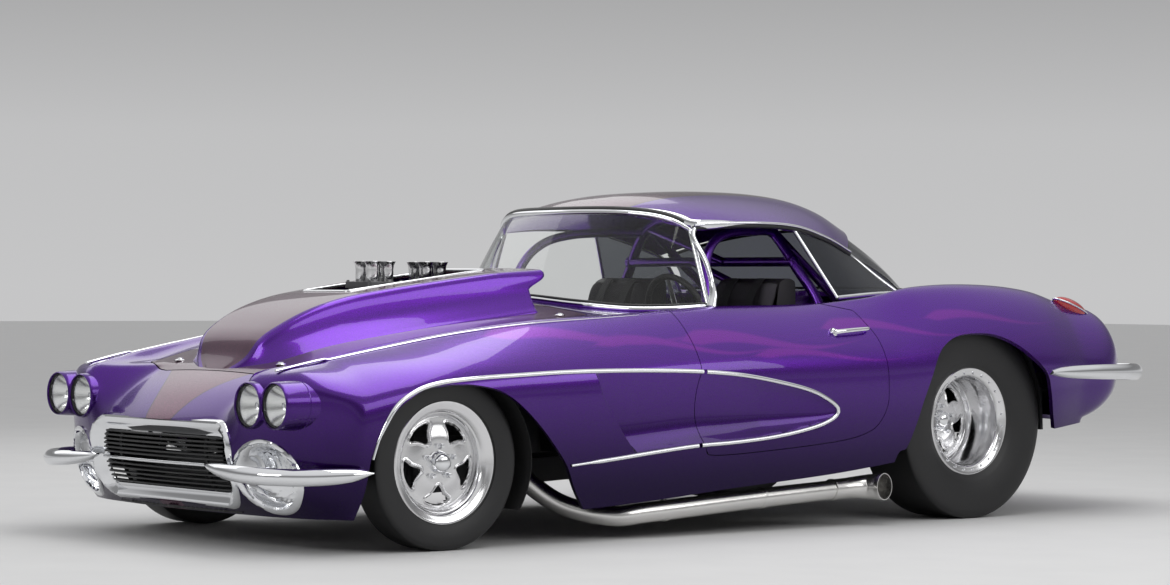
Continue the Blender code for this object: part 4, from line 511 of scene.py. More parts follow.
def lathe(profile, centre, axis="x", steps=64, start=0.0):
    """A profile of (radius, distance along the axle) points turned round an axle through a centre."""
    profile = np.asarray(profile, float)
    t = start + np.arange(steps) / steps * TAU
    r, h = profile[:, :1], np.repeat(profile[:, 1:], steps, axis=1)
    c, s = r * np.cos(t), r * np.sin(t)
    order = {"x": (h, c, s), "y": (s, h, c), "z": (c, s, h)}[axis]
    points = np.stack(order, axis=-1) + np.asarray(centre, float)
    return points.reshape(-1, 3), grid_faces(len(profile), steps, wrap=True)


def joined(*parts):
    """Several meshes as one."""
    verts, faces, total = [], [], 0
    for v, f in parts:
        verts.append(np.asarray(v, float))
        faces += [tuple(row) for row in (np.asarray(f) + total).tolist()]
        total += len(v)
    return np.concatenate(verts), faces


def repeated(part, places):
    """One small mesh set down at many places."""
    verts, faces = np.asarray(part[0], float), np.asarray(part[1])
    places = np.asarray(places, float)
    many = (verts[None] + places[:, None]).reshape(-1, 3)
    step_on = (np.arange(len(places)) * len(verts))[:, None, None]
    return many, (faces[None] + step_on).reshape(-1, faces.shape[1])


def other_side(part):
    """The mirror image, its faces turned so that they still point outward."""
    verts, faces = part
    faces = faces if isinstance(faces, list) else faces.tolist()
    return np.asarray(verts, float) * (-1, 1, 1), [tuple(reversed(face)) for face in faces]


def slab(outline, low, high, axis="x"):
    """A flat outline given a thickness: a fan from its middle closes each face."""
    line = np.asarray(outline, float)
    middle = np.broadcast_to(line.mean(axis=0), line.shape)
    rings = []
    for level, ring in ((low, middle), (low, line), (high, line), (high, middle)):
        fill = np.full(len(line), level)
        a, b = ring.T
        rings.append(np.stack({"x": (fill, a, b), "y": (a, fill, b), "z": (a, b, fill)}[axis], axis=1))
    return np.concatenate(rings), grid_faces(4, len(line), wrap=True)


SHARP = math.radians(38.0)


def piece(name, part, finish, body="root", slot=None, replaces=(), solid=True, bevel=None):
    """Put a mesh in the scene: weld it, turn its faces outward, give it its finish and its body."""
    verts, faces = part
    verts = np.asarray(verts, float) + (0, AXLE_Y, 0)
    faces = faces if isinstance(faces, list) else faces.tolist()
    mesh = bpy.data.meshes.new(name)
    mesh.from_pydata(verts.tolist(), [], faces)
    work = bmesh.new()
    work.from_mesh(mesh)
    bmesh.ops.remove_doubles(work, verts=work.verts, dist=2e-6)
    bmesh.ops.dissolve_degenerate(work, edges=work.edges, dist=1e-7)
    if solid:
        bmesh.ops.recalc_face_normals(work, faces=work.faces)
        if work.calc_volume(signed=True) < 0:
            bmesh.ops.reverse_faces(work, faces=work.faces)
    work.to_mesh(mesh)
    work.free()
    obj = bpy.data.objects.new(name, mesh)
    bpy.context.scene.collection.objects.link(obj)
    mesh.materials.append(finish)
    mesh.shade_smooth()
    mesh.set_sharp_from_angle(angle=SHARP)
    if bevel:
        edge = obj.modifiers.new("edge", "BEVEL")
        edge.width = bevel
        edge.segments = 2
        edge.limit_method = "ANGLE"
    if replaces:
        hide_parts(*([replaces] if isinstance(replaces, str) else replaces))
    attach(obj, body)
    return obj


def pair(name, part, finish, body=("root", "root"), replaces=None, **options):
    """A piece on the driver's side, and its mirror image on the other."""
    for k, (mark, shape) in enumerate((("_left", part), ("_right", other_side(part)))):
        stands_for = (replaces + mark,) if replaces else ()
        piece(name + mark, shape, finish, body=body[k], replaces=stands_for, **options)


def dressed(node, finish):
    """Give a CAD node that stays in view its finish."""
    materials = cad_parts[node].data.materials
    materials.clear()
    materials.append(finish)


# Finishes

class Wire:
    """One output of a shader node that takes part in sums, as a number would."""

    def __init__(self, finish, socket):
        self.finish = finish
        self.socket = socket

    def maths(self, operation, *others):
        return self.finish.node("ShaderNodeMath", {"operation": operation}, dict(enumerate((self,) + others)))

    def __add__(self, other):
        return self.maths("ADD", other)

    __radd__ = __add__

    def __sub__(self, other):
        return self.maths("SUBTRACT", other)

    def __rsub__(self, other):
        return self.finish.node("ShaderNodeMath", {"operation": "SUBTRACT"}, {0: other, 1: self})

    def __mul__(self, other):
        return self.maths("MULTIPLY", other)

    __rmul__ = __mul__

    def __truediv__(self, other):
        return self.maths("DIVIDE", other)

    def __abs__(self):
        return self.maths("ABSOLUTE")

    def __pow__(self, other):
        return self.maths("POWER", other)

    def sine(self):
        return self.maths("SINE")

    def lowest(self, other):
        return self.maths("MINIMUM", other)

    def highest(self, other):
        return self.maths("MAXIMUM", other)

    def rise(self, low, high):
        """0 below low, 1 above high, smooth between: low and high are numbers or wires."""
        return self.finish.node("ShaderNodeMapRange", {"interpolation_type": "SMOOTHSTEP"},
                                {"Value": self, "From Min": low, "From Max": high})


class Finish:
    """A material made of nodes on one Principled shader."""

    def __init__(self, name, **constants):
        self.material = bpy.data.materials.new(name)
        self.material.use_nodes = True
        self.tree = self.material.node_tree
        self.shader = self.tree.nodes["Principled BSDF"]
        for socket, value in constants.items():
            self.shader.inputs[socket.replace("_", " ")].default_value = value

    def node(self, kind, settings=None, values=None, out=0):
        """Any node: its settings first, then its sockets' values or links."""
        made = self.tree.nodes.new(kind)
        for key, value in (settings or {}).items():
            setattr(made, key, value)
        for key, value in (values or {}).items():
            if isinstance(value, Wire):
                self.tree.links.new(value.socket, made.inputs[key])
            else:
                made.inputs[key].default_value = value
        return Wire(self, made.outputs[out])

    def spot(self):
        """Object coordinates as a vector."""
        return self.node("ShaderNodeTexCoord", out=3)

    def place(self, spot):
        """The three numbers of a spot, the middle one aft of the front axle."""
        split = self.tree.nodes.new("ShaderNodeSeparateXYZ")
        self.tree.links.new(spot.socket, split.inputs[0])
        x, y, z = (Wire(self, split.outputs[k]) for k in range(3))
        return x, y - AXLE_Y, z

    def noise(self, spot, scale, detail=2.0):
        return self.node("ShaderNodeTexNoise", {}, {"Vector": spot, "Scale": scale, "Detail": detail})

    def grains(self, spot, scale):
        """A number from 0 to 1 that is constant over each cell of a broken pattern."""
        cells = self.node("ShaderNodeTexVoronoi", {}, {"Vector": spot, "Scale": scale}, out=1)
        return self.node("ShaderNodeSeparateColor", {}, {0: cells})

    def mix(self, share, first, second):
        """A colour between two: share 0 gives the first."""
        return self.node("ShaderNodeMix", {"data_type": "RGBA"}, {0: share, 6: first, 7: second}, out=2)

    def set(self, socket, wire):
        self.tree.links.new(wire.socket, self.shader.inputs[socket])

    def bump(self, height, strength, distance):
        values = {"Height": height, "Strength": strength, "Distance": distance}
        self.set("Normal", self.node("ShaderNodeBump", {}, values))


def band_shares(x, aft, z):
    """Two values from 0 to 1: inside the mauve band, and on the fine line along its edge.

    On the nose the band widens with height, h above the grille, as 0.075 + 0.5 h + 108 h^4, and it is 0.3 wide on
    the roof.
    """
    above = (z - 0.43).highest(0.0)
    nose_half = (0.075 + above * 0.5 + above ** 4 * 108.0).lowest(0.42)
    on_nose_half = (0.2 - aft).rise(-0.001, 0.001)
    on_roof = (z - 1.17).rise(-0.001, 0.001) * (aft - 1.15).rise(-0.001, 0.001)
    half = nose_half * on_nose_half + (0.30 - (aft - 1.2) * 0.03) * on_roof
    inside = half - abs(x)
    there = on_nose_half.highest(on_roof)
    return inside.rise(-0.0010, 0.0010) * there, (0.004 - abs(inside + 0.002)).rise(0.0, 0.0012) * there


LICKS = ((0.20, 1.05, 0.735, 0.020, 0.030), (0.62, 0.95, 0.700, 0.026, 0.024),
         (1.02, 0.95, 0.715, 0.022, 0.034), (1.35, 0.85, 0.660, 0.018, 0.022),
         (1.75, 0.80, 0.760, 0.024, 0.030), (2.30, 0.80, 0.800, 0.020, 0.026))


def flames(aft, z):
    """Soft licks that lie along the car: each is a thin band round a slow wave, and narrows to a point aft."""
    total = None
    for start, length, height, sway, width in LICKS:
        run = (aft - start) / length
        line = ((aft - start) * 7.0).sine() * sway + height
        body = run.rise(0.0, 0.14) * (1.0 - run).highest(0.0) * width
        lick = (body - abs(z - line)).rise(-0.004, 0.010)
        total = lick if total is None else total.highest(lick)
    return total


def candy_paint(name, dressed_up=True):
    """Deep purple lacquer over fine metal, with painted shade: darker towards the sills and lighter towards the roof;
    dressed up, it has the mauve flake band and faint licks.
    """
    f = Finish(name, Coat_Roughness=0.015, Coat_IOR=1.42, IOR=1.4)
    spot = f.spot()
    x, aft, z = f.place(spot)
    flake = f.grains(spot, 900.0)
    # painted shade and light: the colour darkens towards the sills and lightens towards the roof, standing in for the
    # dark ground and bright sky that the lacquer reflects
    colour = f.mix(z.rise(0.15, 0.85), tone("paint_shaded_low"), tone("paint_lit_high"))
    if dressed_up:
        ghost = flames(aft, z) * abs(x).rise(0.45, 0.60)
        colour = f.mix(ghost * 0.60, colour, tone("licks"))
        middle, line = band_shares(x, aft, z)
        band = f.mix(f.grains(spot, 420.0), tone("band_dark"), tone("band_light"))
        colour = f.mix(line, f.mix(middle, colour, band), tone("band_line"))
    bright = {"Color": colour, "Value": 0.85 + flake * 0.30}
    f.set("Base Color", f.node("ShaderNodeHueSaturation", {}, bright))
    f.set("Coat Weight", 0.30 + z.rise(0.15, 0.65) * 0.60)
    f.set("Metallic", 0.78 + flake * 0.16)
    f.set("Roughness", 0.22 + flake * 0.08)
    return f.material


def flake_paint(name):
    """Mauve metal flake: bright and dark grains under clear lacquer."""
    f = Finish(name, Coat_Weight=0.85, Coat_Roughness=0.02, Coat_IOR=1.42)
    spot = f.spot()
    grain = f.grains(spot, 520.0)
    cloud = f.noise(spot, 6.0)
    colour = f.mix(grain, tone("flake_dark"), tone("flake_light"))
    f.set("Base Color", f.mix(cloud * 0.25, colour, (0.070, 0.014, 0.085, 1)))
    f.set("Metallic", 0.55 + grain * 0.25)
    f.set("Roughness", 0.28 + grain * 0.14)
    return f.material


def bright_metal(name, colour, rough, spread=0.03):
    """Plated or polished metal, with a faint wander in its gloss."""
    f = Finish(name, Metallic=1.0)
    spot = f.spot()
    haze = f.noise(spot, 9.0, 3.0)
    fine = f.noise(spot, 240.0)
    f.set("Base Color", f.mix(haze, shaded(colour, 0.93), shaded(colour)))
    f.set("Roughness", rough + haze * spread + fine * 0.5 * spread)
    return f.material


def turned_metal(name, colour, rough, centre_z, aft_at):
    """Machined face: rings of tool marks round the wheel's own centre."""
    f = Finish(name, Metallic=1.0)
    spot = f.spot()
    aft, z = f.place(spot)[1:]
    reach = ((aft - aft_at) ** 2 + (z - centre_z) ** 2) ** 0.5
    rings = (reach * 4200.0).sine()
    haze = f.noise(spot, 12.0, 3.0)
    f.set("Base Color", f.mix(haze, shaded(colour, 0.9), shaded(colour)))
    f.set("Roughness", rough + rings * 0.02 + haze * 0.05)
    f.bump(rings, 0.05, 0.0002)
    return f.material


def plain(name, colour, rough, grain, depth, metallic=0.0, shade=0.35):
    """Moulded, painted or rubber surface: a fine grain in its height, gloss and colour."""
    f = Finish(name, Metallic=metallic)
    spot = f.spot()
    fine = f.noise(spot, grain, 3.0)
    cloud = f.noise(spot, 5.0, 3.0)
    f.set("Base Color", f.mix(cloud, shaded(colour, 1 - shade), shaded(colour)))
    f.set("Roughness", rough - 0.06 + fine * 0.12)
    f.bump(fine, depth, 0.0006)
    return f.material


def glazing(name, tint, rough=0.02, clear=1.0):
    """Window glass: tinted, clear for most of its light, and glossy."""
    f = Finish(name, Roughness=rough, Transmission_Weight=clear, IOR=1.3)
    haze = f.noise(f.spot(), 4.0)
    f.set("Base Color", f.mix(haze, shaded(tint, 0.94), shaded(tint)))
    return f.material


def fabric(name, colour, thread=0.0022, rough=0.85):
    """Woven cloth: threads over and under in two directions."""
    f = Finish(name)
    spot = f.spot()
    x, aft, z = f.place(spot)
    weave = (x * (TAU / thread)).sine() * ((aft + z) * (TAU / thread)).sine()
    cloud = f.noise(spot, 14.0, 3.0)
    f.set("Base Color", f.mix(weave * 0.25 + cloud * 0.75, shaded(colour, 0.55), shaded(colour)))
    f.set("Roughness", rough + weave * 0.05)
    f.bump(weave, 0.5, 0.0005)
    return f.material


FIN = {}


# Finish name: material name, colour, roughness, size of grain and depth of grain
PLAIN = {
    "seal": ("seal_rubber", (0.012, 0.012, 0.013), 0.45, 900.0, 0.1),
    "satin": ("satin_black", (0.016, 0.016, 0.017), 0.42, 500.0, 0.1),
    # black for the wheel wells and the plug in the pipe's outlet: partly their own colour, partly painted shade
    "liner": ("well_black", (0.010, 0.010, 0.011), 0.80, 90.0, 0.5),
    "dash": ("dash_cover", (0.020, 0.018, 0.022), 0.55, 900.0, 0.35),
}


def finishes():
    colours = bpy.context.scene.racer_colours
    FIN["paint"] = candy_paint("candy_purple_paint")
    FIN["scoop"] = candy_paint("scoop_purple_paint", dressed_up=False)
    FIN["cage"] = candy_paint("cage_purple_paint", dressed_up=False)
    FIN["flake"] = flake_paint("mauve_flake_paint")
    FIN["chrome"] = bright_metal("chrome_plate", colours.chrome, 0.03)
    FIN["reflector"] = bright_metal("lamp_reflector", (0.95, 0.95, 0.94), 0.16, spread=0.06)
    FIN["polished"] = bright_metal("polished_alloy", colours.alloy, 0.10, spread=0.08)
    FIN["pipe"] = bright_metal("polished_pipe", (0.80, 0.79, 0.77), 0.17, spread=0.10)
    FIN["bolt"] = bright_metal("bright_bolt", (0.75, 0.75, 0.77), 0.18)
    for end, axle in (("front", FRONT_AXLE), ("rear", REAR_AXLE)):
        FIN["face_" + end] = turned_metal("machined_" + end + "_face", colours.alloy, 0.15, axle[2], axle[1])
    for key, row in PLAIN.items():
        FIN[key] = plain(*row)
    FIN["tyre"] = plain("tyre_rubber", colours.tyre, 0.46, 700.0, 0.25)
    FIN["leather"] = plain("seat_leather", colours.leather, 0.50, 620.0, 0.5)
    FIN["steel"] = plain("painted_steel", (0.030, 0.030, 0.033), 0.40, 260.0, 0.12, metallic=0.3)
    FIN["cast"] = plain("cast_metal", (0.16, 0.16, 0.165), 0.45, 180.0, 0.4, metallic=0.8)
    FIN["dial"] = plain("dial_white", (0.70, 0.70, 0.68), 0.35, 600.0, 0.05, shade=0.1)
    FIN["cloth"] = fabric("seat_cloth", colours.cloth)
    FIN["web"] = fabric("harness_web", (0.025, 0.025, 0.028), thread=0.0016, rough=0.7)
    FIN["glass"] = glazing("clear_glass", (0.96, 0.98, 0.97))
    FIN["tint"] = glazing("tinted_glass", colours.tint, clear=0.9)
    FIN["lens"] = glazing("lamp_glass", (0.97, 0.98, 0.98), rough=0.03)
    FIN["red"] = red_lens("red_lens")


def red_lens(name):
    """Red moulded lens, ribbed on the inside."""
    f = Finish(name, Coat_Weight=1.0, Coat_Roughness=0.03, IOR=1.5)
    aft, z = f.place(f.spot())[1:]
    ribs = (aft * 700.0).sine() * (z * 700.0).sine()
    f.set("Base Color", f.mix(ribs * 0.5 + 0.5, tone("lens_dark"), tone("lens_light")))
    f.set("Roughness", 0.16 + ribs * 0.05)
    return f.material


# The body

def half_skin():
    """The left half of the skin as triangles that face outward."""
    return upward(*sheet(body_surface()))


def top_value(verts, outline, low):
    """Inside an outline on the car's top, above a height."""
    outline = np.asarray(outline, float)
    mirrored = np.concatenate([outline, (outline * (-1, 1))[::-1]])
    return np.where(verts[:, 2] > low, near(verts[:, :2], mirrored), -0.08)


def side_value(verts, outline, least=0.60):
    return np.where(verts[:, 0] > least, near(verts[:, 1:], outline), -0.08)


def front_value(verts, outline):
    return np.where(verts[:, 1] < -0.45, near(verts[:, [0, 2]], outline), -0.08)


def oblong(half, low, high, radius, per=10):
    """A rounded oblong as (x, z) points."""
    t = np.arange(per + 1) / per * TAU / 4
    made = []
    for k, (cx, cz) in enumerate(((half - radius, high - radius), (radius - half, high - radius),
                                  (radius - half, low + radius), (half - radius, low + radius))):
        a = t + k * TAU / 4
        made.append(np.stack([cx + radius * np.cos(a), cz + radius * np.sin(a)], axis=1))
    return np.concatenate(made)


def oval(inset=0.0, count=64):
    x, z, half_x, half_z = NOSTRIL
    t = np.arange(count) / count * TAU
    return np.stack([x + (half_x - inset) * np.cos(t), z + (half_z - inset) * np.sin(t)], axis=1)


DOOR_CURVE = through(DOOR_OUTLINE[:-1], 5)


def panel(verts, faces, *values):
    """The skin cut by each value in turn: each is a function of the points that is above zero where metal stays."""
    for value in values:
        verts, faces = clip(verts, faces, value(verts))
    return verts, faces


def build_body():
    skin = half_skin()
    gap, wall = size("panel_gap"), size("skin_wall")
    arch_front = np.concatenate([through(ARCH_FRONT, 6), [[0.64, -0.3], [-0.42, -0.3]]])
    arch_rear = np.concatenate([through(ARCH_REAR, 6), [[3.110, -0.3], [2.100, -0.3]]])
    half, low, high, radius = GRILLE
    grille = oblong(half + 0.036, low - 0.036, high + 0.036, radius + 0.030)
    shared = (lambda v: -side_value(v, DOOR_CURVE) - gap * 0.6,
              lambda v: -top_value(v, COCKPIT, 0.60),
              lambda v: -side_value(v, arch_front, 0.70),
              lambda v: -side_value(v, arch_rear, 0.70))
    front_only = (lambda v: near(v[:, 1:], SPLIT, 3.0),
                  lambda v: -top_value(v, HOOD_OUTLINE, 0.45) - gap,
                  lambda v: -front_value(v, grille),
                  lambda v: -front_value(v, oval()),
                  lambda v: -front_value(v, circle(0.080, 48) + LAMP_PLACES[0]),
                  lambda v: -front_value(v, circle(0.080, 48) + LAMP_PLACES[1]))
    rear_only = (lambda v: -near(v[:, 1:], SPLIT, 3.0) - 0.0002,
                 lambda v: -top_value(v, LID_OUTLINE, 0.66) - gap)
    front = thick(*both_halves(*panel(*skin, *shared, *front_only)), wall)
    rear = thick(*both_halves(*panel(*skin, *shared, *rear_only)), wall)
    piece("front_clip_skin", front, FIN["paint"], replaces="front_clip", slot="paint", solid=False)
    piece("rear_body_skin", rear, FIN["paint"], replaces="rear_body", slot="paint", solid=False)
    liners()


def liners():
    """Black bowls in the front wheel openings, wide enough fore and aft for the tyre at full lock; they reach down
    low, and their black stands in partly for the shade deep in the openings.
    """
    # the arcs run down below the axle, so that the black sheet fills the opening where there is shade
    t = np.linspace(-0.55, math.pi + 0.25, 44)
    arc = np.stack([np.zeros(len(t)), 0.378 * np.cos(t), FRONT_AXLE[2] + 0.345 * np.sin(t)], axis=1)
    x = np.array([0.838, 0.80, 0.72, 0.64, 0.58, 0.545])
    shrink = np.array([0.965, 0.96, 0.965, 0.97, 0.97, 0.965])
    centre = np.array((0.0, 0.0, FRONT_AXLE[2]))
    rows = [(arc - centre) * s + centre + (xx, 0, 0) for xx, s in zip(x, shrink)]
    faces = triangles(grid_faces(len(rows), len(t)))
    pair("front_well_liner", thick(np.concatenate(rows), faces, 0.003), FIN["liner"], slot="black")


def build_doors():
    skin = half_skin()
    door = panel(*skin, lambda v: side_value(v, DOOR_CURVE))
    pair("door_skin", thick(*door, 0.040), FIN["paint"], body=DOORS, replaces="door", slot="paint", solid=False)
    aft, z = np.meshgrid(np.linspace(1.150, 1.975, 26), np.linspace(0.400, 0.785, 22), indexing="ij")
    lining = skin_reach(aft, z) - 0.046 - 0.006 * step(z, 0.45, 0.60)
    lining = thick(*sheet(np.stack([lining, aft, z], axis=-1)), 0.006)
    pair("door_inner_panel", lining, FIN["leather"], body=DOORS, slot="black")
    handle = np.array(((0.852, 1.820, 0.748), (0.866, 1.828, 0.750), (0.872, 1.860, 0.753), (0.872, 1.930, 0.758),
                       (0.870, 1.985, 0.761), (0.862, 2.004, 0.762)))
    shape = joined(sweep(through(handle, 8), circle(0.007, 14, 1.3), sizes=np.linspace(1.1, 0.8, 41)),
                   lathe([(0, -0.022), (0.016, -0.020), (0.018, -0.012), (0.013, 0.0), (0, 0.002)],
                         (0.866, 1.822, 0.748), steps=24))
    pair("door_handle", shape, FIN["chrome"], body=DOORS, slot="chrome")
    aft = np.linspace(1.115, 1.975, 24)
    rail = np.stack([np.full(24, 0.742), aft, 0.800 + 0.042 * step(aft, 1.10, 1.98)], axis=1)
    pair("door_top_trim", sweep(rail, circle(0.006, 12, 1.2)), FIN["chrome"], body=DOORS, slot="chrome")


SCOOP_END = 0.76
SCOOP_SPANS = (6, 6, 4, 4, 5, 5, 5, 4, 2)
SCOOP_CROWN = 15


def scoop_grid():
    """The scoop's half sections: a flat crown, a tight shoulder and a hollow side down to the hood."""
    afts = np.concatenate([np.linspace(-0.425, -0.29, 24)[:-1], np.linspace(-0.29, SCOOP_END, 76)])
    s = hermite(SCOOP, afts)
    base, top_half, base_z, top = s.T
    drop = np.minimum(top - base_z, 0.15)
    wide = base - top_half
    corners = ((0 * top, top + 0.006), (top_half * 0.5, top + 0.005), (top_half - 0.040, top + 0.002),
               (top_half - 0.012, top - 0.002 * drop / 0.15), (top_half, top - 0.10 * drop),
               (top_half + 0.16 * wide, top - 0.36 * drop), (top_half + 0.42 * wide, base_z + 0.36 * drop),
               (base - 0.004, base_z + 0.06 * drop), (base + 0.012, base_z - 0.010),
               (base + 0.012, base_z - 0.035))
    half = across(np.stack([np.stack(corner, 1) for corner in corners], 1), SCOOP_SPANS)
    # the upper edge reaches aft as a lip, and the end falls from it in a hollow curve
    share = np.clip((half[..., 1] - base_z[:, None]) / (top - base_z)[:, None], 0, 1)
    lip = size("scoop_lip") * step(share, 0.50, 0.90) * step(afts, 0.58, SCOOP_END)[:, None] ** 1.5
    return np.stack([half[..., 0], afts[:, None] + lip, half[..., 1]], axis=-1)


def build_hood():
    under = ((0.0, -0.36), (0.17, -0.345), (0.235, -0.28), (0.29, -0.05), (0.32, 0.35), (0.33, 0.74), (0.0, 0.74))
    hood = panel(*half_skin(), lambda v: top_value(v, HOOD_OUTLINE, 0.45), lambda v: -top_value(v, under, 0.45))
    piece("hood_skin", thick(*both_halves(*hood), size("skin_wall")), FIN["flake"], body="hood", replaces="hood",
          slot="paint", solid=False)
    grid = scoop_grid()
    opening = ((0.0, 0.055), (0.125, 0.055), (0.145, 0.075), (0.145, 0.670), (0.125, 0.690), (0.0, 0.690))
    crown = upward(*sheet(grid[:, :SCOOP_CROWN]))
    crown = panel(*crown, lambda v: -top_value(v, opening, 0.5))
    sides = upward(*sheet(grid[:, SCOOP_CROWN - 1:]))
    for name, half, finish in (("scoop_crown", crown, "flake"), ("scoop_sides", sides, "scoop")):
        piece(name, thick(*both_halves(*half), 0.011), FIN[finish], body="hood", slot="paint", solid=False)
    # the rear wall's rows shrink to its middle, and the lip's reach fades with them
    share = np.linspace(0, 1, 9)[:, None, None]
    middle = np.array((0.0, SCOOP_END, 0.86))
    rear = middle + (grid[-1:] - middle) * (1 - share)
    rear[..., 1] -= 0.030 * np.sin(share[..., 0] * math.pi / 2)
    verts, faces = sheet(rear)
    piece("scoop_rear", thick(*both_halves(verts, faces[:, ::-1]), 0.008), FIN["scoop"], body="hood", slot="paint")
    lip = oblong(0.145, 0.055, 0.690, 0.020, 6)
    lip = np.stack([lip[:, 0], lip[:, 1], hermite(SCOOP, lip[:, 1])[:, 3] + 0.005], axis=1)
    piece("scoop_opening_lip", sweep(lip, circle(0.006, 10), closed=True), FIN["chrome"], body="hood",
          slot="chrome")
    fasteners()


def fasteners():
    """Quarter-turn studs on plates, at the hood's four corners."""
    parts = []
    for x, aft in ((0.33, -0.355), (0.455, 0.80)):
        z = skin_height(x, aft)
        parts.append(lathe([(0, 0.0), (0.020, 0.0), (0.021, 0.002), (0.017, 0.0045), (0.012, 0.006), (0.010, 0.010),
                            (0.004, 0.0115), (0, 0.0117)], (x, aft, z - 0.001), axis="z", steps=24))
    pair("hood_studs", joined(*parts), FIN["chrome"], body=HOOD_BOTH, slot="chrome")


def build_lid():
    lid = panel(*half_skin(), lambda v: top_value(v, LID_OUTLINE, 0.66))
    piece("trunk_lid_skin", thick(*both_halves(*lid), size("skin_wall")), FIN["paint"], body="trunk_lid",
          replaces="trunk_lid", slot="paint", solid=False)
    z = skin_height(0.0, 3.28)
    knob = lathe([(0, 0), (0.018, 0), (0.018, 0.004), (0.010, 0.008), (0.009, 0.016), (0.014, 0.020), (0.010, 0.026),
                  (0, 0.027)], (0, 3.28, z - 0.001), axis="z", steps=24)
    piece("lid_knob", knob, FIN["chrome"], body="trunk_lid", slot="chrome")


def build_trim():
    """Bright strips that lie on the skin: the cove's edge, the fender spears and the sills."""
    count = 220
    line = even(TRIM_CURVE, count)
    path = np.stack([skin_reach(line[:, 0], line[:, 1]) + 0.001, line[:, 0], line[:, 1]], axis=1)
    taper = np.clip(np.minimum(np.arange(count), np.arange(count)[::-1]) / 8.0, 0.6, 1.0)
    strip = circle(size("trim_radius"), 14)
    on_door = (line[:, 0] > 1.112) & (line[:, 0] < 2.0)
    for name, flags, body in (("cove_trim_body", ~on_door, ("root", "root")), ("cove_trim_door", on_door, DOORS)):
        index = np.flatnonzero(flags)
        runs = [run for run in np.split(index, np.flatnonzero(np.diff(index) > 1) + 1) if len(run) > 3]
        strips = joined(*[sweep(path[run], strip, up=(1, 0, 0), sizes=taper[run]) for run in runs])
        pair(name, strips, FIN["chrome"], body=body, slot="chrome")
    spear = np.array(((0.625, -0.575, 0.624), (0.640, -0.400, 0.660), (0.655, -0.177, 0.695), (0.675, 0.138, 0.745),
                      (0.695, 0.430, 0.780), (0.715, 0.685, 0.799), (0.730, 0.950, 0.806)))
    spear = even(through(spear, 12), 90)
    on_top = np.array([skin_height(p[0], max(p[1], -0.399)) for p in spear])
    spear[:, 2] = np.where(spear[:, 1] > -0.38, on_top, spear[:, 2])
    swell = np.maximum(np.sin(np.linspace(0.15, 1, 90) ** 0.7 * math.pi), 0)
    blade = circle(0.009, 12, 0.55)
    pair("fender_spear", sweep(spear, blade, sizes=0.35 + 0.65 * swell ** 0.6), FIN["chrome"], slot="chrome")
    sill = np.array(((0.712, 1.400, 0.838), (0.712, 1.600, 0.842), (0.712, 1.800, 0.846), (0.708, 1.985, 0.856)))
    pair("sill_strip", sweep(even(through(sill, 8), 30), circle(0.010, 12, 0.5)), FIN["chrome"], slot="chrome")


# The nose

@functools.cache
def nose_skin():
    """Points of the nose's skin, which no size in the sidebar moves."""
    skin = body_surface()[:100].reshape(-1, 3)
    return skin[(skin[:, 1] < -0.40) & (skin[:, 2] < 0.66)]


def face_at(x, z):
    """How far aft the nose's skin lies: the mean of its four nearest points, weighted by 1 / distance."""
    skin = nose_skin()
    x, z = np.broadcast_arrays(np.abs(x), z)
    away = (skin[:, 0] - x.reshape(-1, 1)) ** 2 + (skin[:, 2] - z.reshape(-1, 1)) ** 2
    close = np.argpartition(away, 4, axis=1)[:, :4]
    share = 1 / (np.sqrt(np.take_along_axis(away, close, 1)) + 1e-5)
    return ((skin[close, 1] * share).sum(1) / share.sum(1)).reshape(x.shape)


def on_nose(line, depth=0.0):
    """(x, z) points set on the nose's face."""
    return np.stack([line[:, 0], face_at(line[:, 0], line[:, 1]) + depth, line[:, 1]], axis=1)


def ring_part(outline_at, section):
    """A closed section of (inset, depth) carried round an outline on the nose."""
    rows = [on_nose(outline_at(inset), depth) for inset, depth in section]
    rows.append(rows[0])
    rows = np.stack(rows)
    return rows.reshape(-1, 3), grid_faces(len(rows), rows.shape[1], wrap=True)


